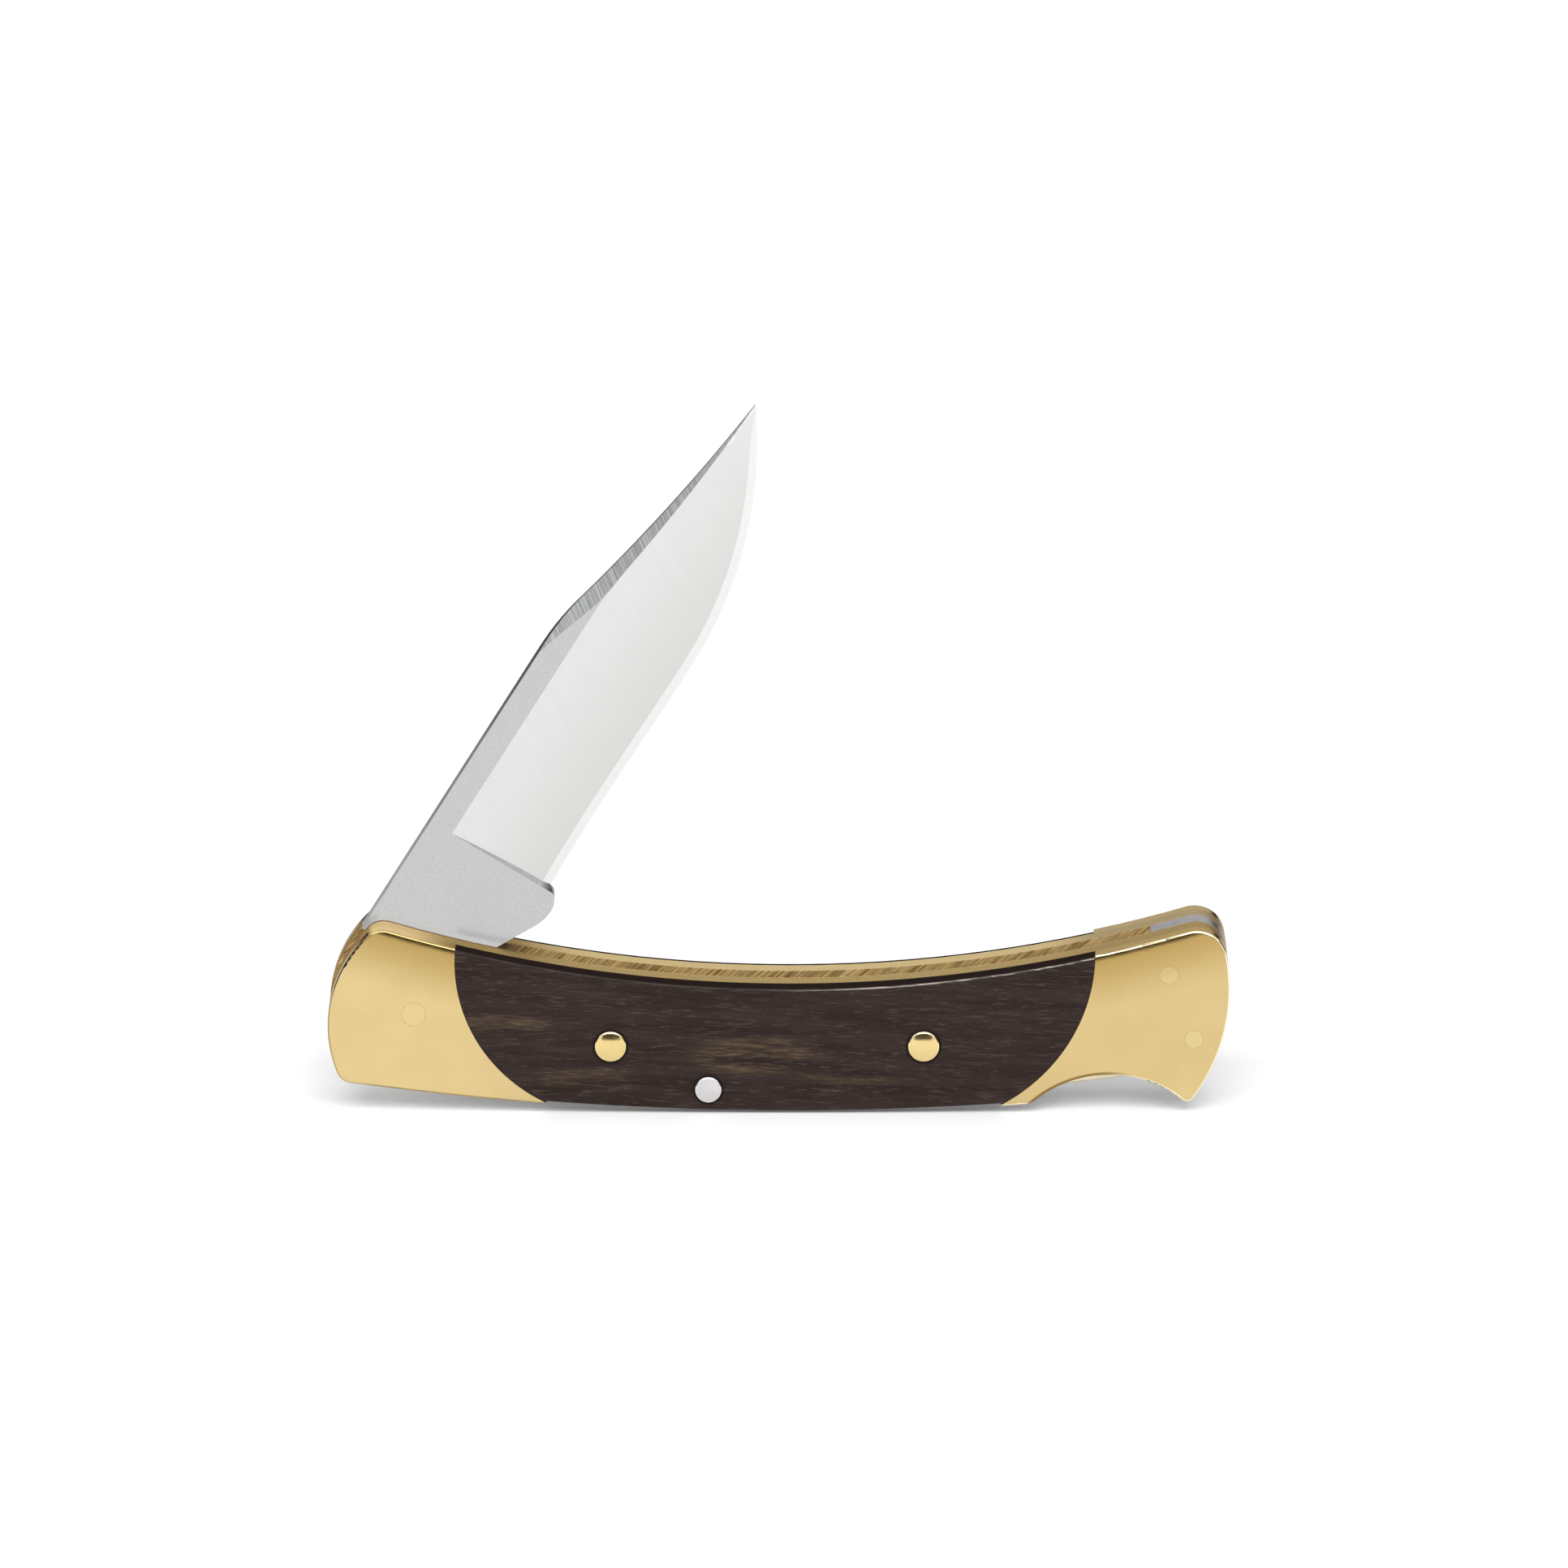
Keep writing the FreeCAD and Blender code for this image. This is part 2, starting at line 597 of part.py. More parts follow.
def lock_bar(outline):
    """Rocker along the back: lug at the tang, boss at its pin, pad in the thumb notch."""
    lug_top = pivot_z - lug_tip_drop()
    lug_front = pivot_x - LUG_FRONT
    lug_rear = lug_front + LUG_LENGTH
    bar_end = slot_end_x - BAR_END_GAP
    ramp = notch_x - PAD_LEAD
    pad_top = NOTCH_HEIGHT + PAD_HEIGHT
    corners = [
        at(lug_front, -CLEAR),
        at(lug_front, lug_top),
        at(lug_rear, lug_top),
        at(lug_rear, bar_top_z),
        at(ramp, bar_top_z),
        at(ramp + PAD_RAMP, pad_top),
        at(bar_end, pad_top),
        at(bar_end, -CLEAR),
    ]
    region = rounded(slab(polygon(corners), -blade_half, blade_half), [
        (corners[3], LUG_CORNER),
        (corners[4], PAD_BEND),
        (corners[5], PAD_BEND),
    ])
    boss = disc(rocker[0], rocker[1], ROCKER_PIN_DIAMETER / 2 + BOSS_WALL, -blade_half, blade_half)
    bar = layer(outline, -blade_half, blade_half).common(region.fuse(boss))
    bar = bar.cut(holes([rocker], ROCKER_PIN_DIAMETER, RUNNING_FIT))
    return bar.removeSplitter()


def lock_spring(outline):
    """Leaf that presses the lock bar's rear half outwards, and its root block at the butt."""
    root = layer(outline, -slot_half, slot_half).common(block(slot_end_x, CLEAR + butt_x, -CLEAR, CLEAR))
    root_top = pivot_z - LEAF_ROOT_DROP
    tip_x = butt_x - LEAF_SETBACK
    tip_low = bar_top_z + LEAF_GAP
    inside = slot_end_x + LAP
    top_root = at(inside, root_top)
    low_root = at(inside, root_top - LEAF_ROOT_HEIGHT)
    top_tip = at(tip_x, tip_low + LEAF_TIP_HEIGHT)
    low_tip = at(tip_x, tip_low)
    edges = [
        bowed(top_root, top_tip, -LEAF_SAG),
        line(top_tip, low_tip),
        bowed(low_tip, low_root, LEAF_SAG),
        line(low_root, top_root),
    ]
    spring = root.fuse(slab(edges, -blade_half, blade_half))
    return spring.cut(holes(rear_pins, REAR_PIN_DIAMETER, PIN_FIT)).removeSplitter()


pivot = (pivot_x, pivot_z)
rocker = (pivot_x + ROCKER_PIN_REACH, ROCKER_PIN_HEIGHT)
front_scale_pin = (pivot_x + FRONT_SCALE_PIN_REACH, pivot_z - SCALE_PIN_DROP)
rear_scale_pin = (butt_x - REAR_SCALE_PIN_SETBACK, pivot_z - SCALE_PIN_DROP)
scale_pins = [front_scale_pin, rear_scale_pin]
upper_rear_pin = (butt_x - UPPER_REAR_PIN_SETBACK, pivot_z + UPPER_REAR_PIN_RISE)
lower_rear_pin = (butt_x - LOWER_REAR_PIN_SETBACK, pivot_z - LOWER_REAR_PIN_DROP)
rear_pins = [upper_rear_pin, lower_rear_pin]

outline = handle_outline()
front_bolster, rear_bolster = bolsters(outline)
left_side = {
    "liner": liner(outline),
    "front_bolster": front_bolster,
    "rear_bolster": rear_bolster,
    "scale": scale(outline),
    "front_scale_pin": scale_pin(front_scale_pin),
    "rear_scale_pin": scale_pin(rear_scale_pin),
}
nodes = {
    "blade": blade(),
    "lock_bar": lock_bar(outline),
    "lock_spring": lock_spring(outline),
    "pivot_pin": flush_pin(pivot, PIVOT_PIN_DIAMETER),
    "pivot_bushing": pivot_bushing(),
    "rocker_pin": rocker_pin(),
    "upper_rear_pin": flush_pin(upper_rear_pin, REAR_PIN_DIAMETER),
    "lower_rear_pin": flush_pin(lower_rear_pin, REAR_PIN_DIAMETER),
}
for name, shape in left_side.items():
    nodes["left_" + name] = shape
    nodes["right_" + name] = other_side(shape)

os.makedirs("parts", exist_ok=True)
for name, shape in nodes.items():
    solids = shape.Solids
    print(name, len(solids), "valid" if shape.isValid() else "INVALID", round(shape.Volume, 3))
    solids[0].exportStep("parts/" + name + ".step")
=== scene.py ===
# %% [markdown]
# # A lockback pocket knife on a studio floor
# The knife stands on its back with the blade half open. Its solids come from the CAD model, already in
# metres and in place, so this lesson is about light and finishes: brass, dark wood and ground steel.
# Loading the frame first gives every piece that the finishes go on.

# %% Load the knife
import math

import bmesh
import bpy
from mathutils import Matrix, Vector


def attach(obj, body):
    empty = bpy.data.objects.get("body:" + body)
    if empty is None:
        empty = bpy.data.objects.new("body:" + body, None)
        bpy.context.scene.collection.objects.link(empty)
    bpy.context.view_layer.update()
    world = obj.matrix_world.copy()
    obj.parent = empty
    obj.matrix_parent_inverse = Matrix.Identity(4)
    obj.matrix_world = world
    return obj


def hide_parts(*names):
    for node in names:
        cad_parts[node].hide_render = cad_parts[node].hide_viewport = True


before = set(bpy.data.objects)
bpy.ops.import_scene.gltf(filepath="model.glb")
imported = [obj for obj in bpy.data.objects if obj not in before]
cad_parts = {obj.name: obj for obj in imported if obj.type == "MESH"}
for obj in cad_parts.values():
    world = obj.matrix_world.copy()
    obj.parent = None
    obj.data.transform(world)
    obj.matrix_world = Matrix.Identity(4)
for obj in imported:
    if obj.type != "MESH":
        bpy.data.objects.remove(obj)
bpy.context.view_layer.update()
scene = bpy.context.scene
print("nodes:", ", ".join(sorted(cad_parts)))

# %% [markdown]
# ## The camera
# A product photograph of something this small is taken from over a metre away with a long lens, which
# keeps the near and the far side of the handle almost the same size. The camera looks along the
# thickness of the knife from 16.5 degrees above the table. Its distance and lens were worked out from
# the handle's length and the pins, so the knife fills the same part of the frame as in the photograph.

# %% Camera at the photograph's viewing angle
CAMERA_ELEVATION = math.radians(16.5)
CAMERA_PLACE = (0.00051, -1.24454, 0.40009)
LENS_MM = 313.9
SENSOR_MM = 36.0
VIEW_REACH = 20.0

camera_data = bpy.data.cameras.new("product_camera")
camera_data.lens = LENS_MM
camera_data.sensor_width = SENSOR_MM
camera_data.clip_end = VIEW_REACH
camera = bpy.data.objects.new("product_camera", camera_data)
camera.location = CAMERA_PLACE
camera.rotation_euler = (math.pi / 2 - CAMERA_ELEVATION, 0, 0)
scene.collection.objects.link(camera)
scene.camera = camera
scene.view_settings.view_transform = "Standard"
print("camera at", CAMERA_PLACE, "lens", LENS_MM)

# %% [markdown]
# ## Node helpers
# Every finish below is a small tree of nodes. A few helpers keep the trees readable: they add a node and
# fill its sockets by name, do arithmetic, read one coordinate, measure a distance, fade a value between
# two limits, blend two colours, and turn a colour as the eye reads it into the shader's own numbers.

# %% Helpers for node trees
def fill(tree, socket, value):
    """Links an output to the socket, or sets a plain value on it."""
    if isinstance(value, bpy.types.NodeSocket):
        tree.links.new(value, socket)
    else:
        socket.default_value = value


def add(tree, kind, settings=None, **sockets):
    """A shader node with its settings, and its sockets by name (an underscore stands for a space)."""
    made = tree.nodes.new("ShaderNode" + kind)
    for name, value in (settings or {}).items():
        setattr(made, name, value)
    for name, value in sockets.items():
        fill(tree, made.inputs[name.replace("_", " ")], value)
    return made


def maths(tree, operation, *values):
    """The output of a Math node."""
    made = add(tree, "Math", {"operation": operation})
    for socket, value in zip(made.inputs, values):
        fill(tree, socket, value)
    return made.outputs[0]


def axis_of(tree, vector, axis):
    """One coordinate of a vector: X, Y or Z."""
    return add(tree, "SeparateXYZ", Vector=vector).outputs[axis]


def squared_distance(tree, place, centre, half_sizes=(1.0, 1.0)):
    """The square of the distance from a centre (x, z), each way in units of its half size."""
    squares = []
    for axis, middle, half in zip("XZ", centre, half_sizes):
        offset = maths(tree, "SUBTRACT", axis_of(tree, place, axis), middle)
        offset = maths(tree, "DIVIDE", offset, half)
        squares.append(maths(tree, "MULTIPLY", offset, offset))
    return maths(tree, "ADD", *squares)


def distance(tree, place, centre):
    """How far a place lies from a centre (x, z), in metres."""
    return maths(tree, "SQRT", squared_distance(tree, place, centre))


def fade(tree, value, low, high, to_low=0.0, to_high=1.0):
    """Maps value from low..high to to_low..to_high, smoothly and clamped."""
    made = add(tree, "MapRange", {"interpolation_type": "SMOOTHSTEP"}, Value=value)
    for name, number in zip(("From Min", "From Max", "To Min", "To Max"), (low, high, to_low, to_high)):
        made.inputs[name].default_value = number
    return made.outputs[0]


def blend_colours(tree, factor, first, second):
    """first where the factor is 0, second where it is 1."""
    made = add(tree, "Mix", {"data_type": "RGBA"})
    fill(tree, made.inputs[0], factor)
    fill(tree, made.inputs[6], first)
    fill(tree, made.inputs[7], second)
    return made.outputs[2]


def tint(red, green, blue):
    """A colour written as the eye reads it, 0 to 255, as the shader's linear colour."""
    def linear(level):
        level = level / 255
        return level / 12.92 if level <= 0.04045 else ((level + 0.055) / 1.055) ** 2.4

    return (linear(red), linear(green), linear(blue), 1.0)


print("helpers ready; a mid grey is", [round(level, 3) for level in tint(128, 128, 128)[:3]])

# %% [markdown]
# ## Floor and light
# Polished metal shows its surroundings more than its own colour, so the studio is part of the finish.
# The floor is a wide white sheet under an even white sky. A little glow that only the camera and the
# mirror rays see lifts the open floor to white and leaves the shadow.

# %% Floor
WHITE = (1.0, 1.0, 1.0, 1.0)
FLOOR_SIZE = 6.0
FLOOR_DROP = 0.00002
FLOOR_TONE = (0.88, 0.88, 0.88, 1.0)
FLOOR_GLOW = 0.1


def new_object(name, shape):
    """Puts a finished bmesh in the scene as an object."""
    mesh = bpy.data.meshes.new(name)
    shape.to_mesh(mesh)
    shape.free()
    made = bpy.data.objects.new(name, mesh)
    scene.collection.objects.link(made)
    return made


def sheet(name, width, height, turn, place):
    """A flat rectangle, turned about X and Z and put in its place, that is part of the studio."""
    shape = bmesh.new()
    bmesh.ops.create_grid(shape, x_segments=1, y_segments=1, size=0.5)
    bmesh.ops.scale(shape, verts=shape.verts, vec=(width, height, 1.0))
    for angle, axis in zip(turn, "XZ"):
        bmesh.ops.rotate(shape, verts=shape.verts, cent=(0, 0, 0), matrix=Matrix.Rotation(angle, 3, axis))
    bmesh.ops.translate(shape, verts=shape.verts, vec=place)
    made = new_object(name, shape)
    return made


def seen_directly(tree):
    """1 for the rays that show the background: from the camera, off metal and through glass."""
    paths = tree.nodes.new("ShaderNodeLightPath")
    seen = maths(tree, "MAXIMUM", paths.outputs["Is Camera Ray"], paths.outputs["Is Glossy Ray"])
    return maths(tree, "MAXIMUM", seen, paths.outputs["Is Transmission Ray"])


floor = sheet("floor", FLOOR_SIZE, FLOOR_SIZE, (0, 0), (0, 0, -FLOOR_DROP))
floor_paint = bpy.data.materials.new("white_sheet")
floor_paint.use_nodes = True
tree = floor_paint.node_tree
tree.nodes.clear()
matt = add(tree, "BsdfDiffuse", Color=FLOOR_TONE)
lift = maths(tree, "MULTIPLY", seen_directly(tree), FLOOR_GLOW)
glow = add(tree, "Emission", Color=WHITE, Strength=lift)
both = tree.nodes.new("ShaderNodeAddShader")
tree.links.new(matt.outputs[0], both.inputs[0])
tree.links.new(glow.outputs[0], both.inputs[1])
add(tree, "OutputMaterial", Surface=both.outputs[0])
floor.data.materials.append(floor_paint)
print("floor", [round(side, 2) for side in floor.dimensions])

# %% [markdown]
# The sky is dimmer for the light that it sheds than for the eye and for reflections. A large softbox
# hangs high in front of the knife and faces the floor, so the soft shadow falls back under the handle.

# %% Sky and softbox
SKY_LIGHT = 0.65
SKY_SEEN = 1.0
SOFTBOX_WIDTH = 3.4
SOFTBOX_DEPTH = 2.7
SOFTBOX_POWER = 123.0
SOFTBOX_PLACE = (0.0, -2.4, 2.4)

world = bpy.data.worlds.new("studio")
world.use_nodes = True
scene.world = world
tree = world.node_tree
tree.nodes.clear()
level = fade(tree, seen_directly(tree), 0.0, 1.0, SKY_LIGHT, SKY_SEEN)
sky = add(tree, "Background", Color=WHITE, Strength=level)
add(tree, "OutputWorld", Surface=sky.outputs[0])

lamp_data = bpy.data.lights.new("overhead_softbox", "AREA")
lamp_data.shape = "RECTANGLE"
lamp_data.size = SOFTBOX_WIDTH
lamp_data.size_y = SOFTBOX_DEPTH
lamp_data.energy = SOFTBOX_POWER
lamp = bpy.data.objects.new("overhead_softbox", lamp_data)
lamp.location = SOFTBOX_PLACE
scene.collection.objects.link(lamp)
print("softbox", SOFTBOX_WIDTH, "m wide,", SOFTBOX_POWER, "W")

# %% [markdown]
# A photographer stands black cards just outside the picture to draw dark lines along polished edges.
# One stands behind the camera, at the horizon, for the rounded edges of the bolsters; its foot is paler,
# so the dark fades out downwards. One past each end of the knife does the same for the ends. A low one
# behind the knife darkens the narrow back of the blade. Only mirror rays meet them, so they neither show
# nor take light from the floor.

# %% Black cards for the reflections
CARD_TONE = 0.02
PALE_FOOT = 0.35
FOOT_HEIGHT = 0.14
END_CARD_WIDTH = 1.6
END_CARD_HEIGHT = 0.7


def black_card(name, width, height, heading, place, foot=CARD_TONE):
    """An upright card that only polished surfaces see, turned so many degrees about Z."""
    made = sheet(name, width, height, (math.pi / 2, math.radians(heading)), place)
    made.visible_camera = False
    made.visible_diffuse = False
    made.visible_shadow = False
    paint = bpy.data.materials.new(name)
    paint.use_nodes = True
    tree = paint.node_tree
    shader = tree.nodes["Principled BSDF"]
    up = axis_of(tree, tree.nodes.new("ShaderNodeTexCoord").outputs["Object"], "Z")
    fill(tree, shader.inputs["Base Color"], fade(tree, up, 0.0, FOOT_HEIGHT, foot, CARD_TONE))
    shader.inputs["Roughness"].default_value = 1.0
    made.data.materials.append(paint)
    print(name, [round(side, 2) for side in made.dimensions], "at", place)


black_card("card_behind_camera", 1.2, 0.48, 0.0, (0, -1.6, 0.22), PALE_FOOT)
black_card("card_behind_knife", 1.2, 0.05, 0.0, (-0.15, 0.25, 0.025))
black_card("card_at_pivot_end", END_CARD_WIDTH, END_CARD_HEIGHT, 90.0, (-1.2, 0.2, 0.33))
black_card("card_at_butt", END_CARD_WIDTH, END_CARD_HEIGHT, 90.0, (1.2, 0.2, 0.33))

# %% [markdown]
# ## Brass
# The bolsters, the liners and most of the pins are brass. The bolsters were buffed, so they carry fine
# polishing lines along the handle; the liners were ground flat and show slanting grinding marks. One
# node group draws such lines, and each finish places it with its own angle and width.

# %% Node group for fine ground lines
LINE_LIMITS = (0.32, 0.68)
CLOUD_LIMITS = (0.3, 0.7)
CLOUD_SCALE = 260.0


def line_group():
    """Marks along X of the given coordinates, a mask from 0 to 1, and a broader cloudiness."""
    group = bpy.data.node_groups.new("ground_lines", "ShaderNodeTree")
    face = group.interface
    face.new_socket("Vector", in_out="INPUT", socket_type="NodeSocketVector")
    for name in ("Length", "Width"):
        face.new_socket(name, in_out="INPUT", socket_type="NodeSocketFloat")
    for name in ("Lines", "Cloud"):
        face.new_socket(name, in_out="OUTPUT", socket_type="NodeSocketFloat")
    entry = group.nodes.new("NodeGroupInput")
    exit_node = group.nodes.new("NodeGroupOutput")
    along = maths(group, "DIVIDE", 1.0, entry.outputs["Length"])
    across = maths(group, "DIVIDE", 1.0, entry.outputs["Width"])
    stretch = add(group, "CombineXYZ", X=along, Y=across, Z=across)
    scaled = add(group, "VectorMath", {"operation": "MULTIPLY"})
    group.links.new(entry.outputs["Vector"], scaled.inputs[0])
    group.links.new(stretch.outputs[0], scaled.inputs[1])
    fine = add(group, "TexNoise", Vector=scaled.outputs[0], Scale=1.0, Detail=4.0, Roughness=0.65)
    broad = add(group, "TexNoise", Vector=entry.outputs["Vector"], Scale=CLOUD_SCALE, Detail=3.0)
    group.links.new(fade(group, fine.outputs[0], *LINE_LIMITS), exit_node.inputs["Lines"])
    group.links.new(fade(group, broad.outputs[0], *CLOUD_LIMITS), exit_node.inputs["Cloud"])
    return group


GROUND_LINES = line_group()
print("group", GROUND_LINES.name, "gives", [socket.name for socket in GROUND_LINES.interface.items_tree])

# %% [markdown]
# Every finish starts the same way: a new material, coordinates along the axes that its marks follow,
# and the lines placed on them. Most end with a slight relief of those lines.

# %% Helpers that start and end a finish
def new_finish(name, **sockets):
    """A material with a Principled BSDF whose plain numbers are set on its own sockets."""
    made = bpy.data.materials.new(name)
    made.use_nodes = True
    shader = made.node_tree.nodes["Principled BSDF"]
    for socket, value in sockets.items():
        shader.inputs[socket.replace("_", " ")].default_value = value
    return made, made.node_tree, shader


def turned_place(tree, turn=(0, 0, 0), centre=(0, 0, 0), thickness=1.0):
    """Object coordinates from a centre along turned axes, in metres; a great thickness evens out Y."""
    place = tree.nodes.new("ShaderNodeTexCoord").outputs["Object"]
    made = add(tree, "Mapping", {"vector_type": "TEXTURE"}, Vector=place)
    made.inputs["Location"].default_value = centre
    made.inputs["Rotation"].default_value = turn
    made.inputs["Scale"].default_value = (1.0, thickness, 1.0)
    return made.outputs[0]


def ground_lines(tree, place, length, width):
    """The group placed in a tree, for lines of this length and width in metres."""
    made = add(tree, "Group", {"node_tree": GROUND_LINES})
    fill(tree, made.inputs["Vector"], place)
    made.inputs["Length"].default_value = length
    made.inputs["Width"].default_value = width
    return made


def emboss(tree, shader, height):
    """Tilts the shading as if the surface stood at these heights, in metres."""
    bump = add(tree, "Bump", Height=height, Distance=1.0)
    fill(tree, shader.inputs["Normal"], bump.outputs[0])


print("finishes start from", GROUND_LINES.name)

# %% [markdown]
# Several finishes change towards the slot edge of the handle: the brass rolls over and is painted a deeper
# gold there as shade, and the wood's corner carries a painted pale highlight. That edge is one long arc, so
# a node group measures how far below it a point lies.

# %% Node group for the depth below the slot edge
SLOT_ARC_CENTRE = (0.001115, 0.14451)
SLOT_ARC_RADIUS = 0.132


def slot_edge_group():
    """Depth in millimetres below the arc of the slot edge."""
    group = bpy.data.node_groups.new("below_slot_edge", "ShaderNodeTree")
    group.interface.new_socket("Vector", in_out="INPUT", socket_type="NodeSocketVector")
    group.interface.new_socket("Depth", in_out="OUTPUT", socket_type="NodeSocketFloat")
    entry = group.nodes.new("NodeGroupInput")
    exit_node = group.nodes.new("NodeGroupOutput")
    far = distance(group, entry.outputs["Vector"], SLOT_ARC_CENTRE)
    below = maths(group, "SUBTRACT", far, SLOT_ARC_RADIUS)
    group.links.new(maths(group, "MULTIPLY", below, 1000.0), exit_node.inputs["Depth"])
    return group


SLOT_EDGE = slot_edge_group()


def below_slot_edge(tree, place):
    """The group placed in a tree: depth in millimetres at a place."""
    made = add(tree, "Group", {"node_tree": SLOT_EDGE})
    fill(tree, made.inputs["Vector"], place)
    return made.outputs["Depth"]


print("group", SLOT_EDGE.name, "measures from an arc of", SLOT_ARC_RADIUS, "m")

# %% [markdown]
# The upper faces of the bolsters carry a painted reflection: a dull dark tone beside the tang at the front,
# pale only at the very corner, and a duller tone at the rear; the front ones are also rougher. The end faces
# and the edge of the thumb notch are painted a brown shade. The rounded rims carry a painted highlight at
# the rear and a darker painted shade at the front. Brass throws a strong yellow on its surroundings, so
# other surfaces are shown a pale grey in its place.

# %% Buffed brass for the bolsters
BRASS_GLANCE = tint(215, 204, 183)
BRASS_REAR = tint(214, 189, 134)
BRASS_FRONT = tint(218, 194, 139)
BRASS_DEEP_AND_SHADE = tint(182, 152, 91)
THROWN_GREY = tint(214, 214, 214)
TOP_PAINTED_REFLECTION = tint(156, 132, 87)
CORNER_PAINTED_HIGHLIGHT = tint(226, 203, 154)
BOLSTER_END_PAINTED_SHADE = tint(142, 112, 64)
REAR_RIM_PAINTED_HIGHLIGHT = tint(255, 246, 214)
FRONT_RIM_PAINTED_SHADE = tint(172, 150, 104)
NOTCH_PAINTED_SHADE = tint(140, 112, 62)

BUFFING_LINES = (0.015, 0.0001)
BUFFING_RELIEF = 0.0000004
BUFFED_ROUGHNESS = (0.15, 0.2)
RUBBED_ROUGHNESS = 0.65
CLOUD_SHARE = 0.09
PAINTED_SHADE_DEPTH = 6.2
ROLL_RATE = -1.31
ROLL_HEIGHT = -0.000243

FRONT_HALF = (0.0, -0.026)
FRONT_CORNER = (-0.0305, -0.0352)
UPPER_FACES = (0.6, 0.9)
END_FACES = (0.5, 0.8)
RIM_FROM_SIDE = (0.97, 0.92)
RIM_FROM_TOP = (0.35, 0.5)
NOTCH_CENTRE = (0.0315, -0.0072)
NOTCH_RADIUS = 0.011
NOTCH_SHADE_BAND = (0.00038, 0.0002)
NOTCH_SIDE = (0.003, -0.001)


def facing(tree, axis):
    """How squarely a face looks along X, Y or Z, either way."""
    normal = tree.nodes.new("ShaderNodeNewGeometry").outputs["Normal"]
    return maths(tree, "ABSOLUTE", axis_of(tree, normal, axis))


def pale_to_others(tree, colour):
    """The colour for the camera, but a pale grey for what the metal throws on the floor and the steel."""
    paths = tree.nodes.new("ShaderNodeLightPath")
    thrown = maths(tree, "MAXIMUM", paths.outputs["Is Diffuse Ray"], paths.outputs["Is Glossy Ray"])
    return blend_colours(tree, thrown, colour, THROWN_GREY)


def notch_edge(tree, place):
    """1 along the edge of the thumb notch where a brown shade is painted, on the side towards the pivot."""
    past_edge = maths(tree, "SUBTRACT", distance(tree, place, NOTCH_CENTRE), NOTCH_RADIUS)
    across = maths(tree, "SUBTRACT", axis_of(tree, place, "X"), NOTCH_CENTRE[0])
    return maths(tree, "MULTIPLY", fade(tree, past_edge, *NOTCH_SHADE_BAND), fade(tree, across, *NOTCH_SIDE))


def bolster_finish(name, rear_tone, front_tone, deep, painted_rear_top):
    """Polished brass with faint lines, rolled over and painted a deeper gold as shade towards the slot edge.
    """
    made, tree, shader = new_finish(name, Metallic=1.0, Specular_Tint=BRASS_GLANCE)
    place = turned_place(tree)
    depth = below_slot_edge(tree, place)
    marks = ground_lines(tree, place, *BUFFING_LINES)
    along = axis_of(tree, place, "X")
    front = fade(tree, along, *FRONT_HALF)
    body = blend_colours(tree, front, rear_tone, front_tone)
    cloudy = fade(tree, marks.outputs["Cloud"], 0.0, 1.0, 0.0, CLOUD_SHARE)
    body = blend_colours(tree, cloudy, body, deep)
    # painted shade: the brass is painted a deeper gold within a few millimetres of the slot edge
    colour = blend_colours(tree, fade(tree, depth, PAINTED_SHADE_DEPTH, 0.0), body, deep)
    # painted reflection on the upper faces: dark beside the tang at the front, paler at the very corner
    front_top_painted = blend_colours(tree, fade(tree, along, *FRONT_CORNER), TOP_PAINTED_REFLECTION, CORNER_PAINTED_HIGHLIGHT)
    upper = fade(tree, facing(tree, "Z"), *UPPER_FACES)
    colour = blend_colours(tree, upper, colour, blend_colours(tree, front, painted_rear_top, front_top_painted))
    # painted shade: the end faces of the bolsters are painted brown
    ends = fade(tree, facing(tree, "X"), *END_FACES)
    colour = blend_colours(tree, ends, colour, BOLSTER_END_PAINTED_SHADE)
    # painted highlight on the rounded rims at the rear, a darker painted shade on them at the front
    sideways = facing(tree, "Y")
    rim = maths(tree, "MULTIPLY", fade(tree, sideways, *RIM_FROM_SIDE), fade(tree, sideways, *RIM_FROM_TOP))
    colour = blend_colours(tree, rim, colour, blend_colours(tree, front, REAR_RIM_PAINTED_HIGHLIGHT, FRONT_RIM_PAINTED_SHADE))
    # painted shade: a brown line along the edge of the thumb notch
    colour = blend_colours(tree, notch_edge(tree, place), colour, NOTCH_PAINTED_SHADE)
    fill(tree, shader.inputs["Base Color"], pale_to_others(tree, colour))
    rough = fade(tree, marks.outputs["Lines"], 0.0, 1.0, *BUFFED_ROUGHNESS)
    rubbed = maths(tree, "MULTIPLY", maths(tree, "MULTIPLY", upper, front), RUBBED_ROUGHNESS)
    fill(tree, shader.inputs["Roughness"], maths(tree, "MAXIMUM", rough, rubbed))
    roll = maths(tree, "EXPONENT", maths(tree, "MULTIPLY", depth, ROLL_RATE))
    roll = maths(tree, "MULTIPLY", roll, ROLL_HEIGHT)
    lines = maths(tree, "MULTIPLY", marks.outputs["Lines"], BUFFING_RELIEF)
    emboss(tree, shader, maths(tree, "ADD", roll, lines))
    return made


BODY = (BRASS_REAR, BRASS_FRONT, BRASS_DEEP_AND_SHADE)
# the near (right) bolsters get a darker, browner painted top than the far (left) ones
left_bolster_brass = bolster_finish("left_bolster_brass", *BODY, tint(188, 172, 138))
right_bolster_brass = bolster_finish("right_bolster_brass", *BODY, tint(184, 160, 112))
pivot_brass = bolster_finish("pivot_brass", BRASS_REAR, tint(221, 197, 142), BRASS_DEEP_AND_SHADE, BRASS_REAR)
flush_brass = bolster_finish(
    "flush_pin_brass", tint(220, 197, 142), BRASS_FRONT, tint(190, 163, 101), BRASS_REAR,
)
print("made", left_bolster_brass.name, right_bolster_brass.name, pivot_brass.name, flush_brass.name)

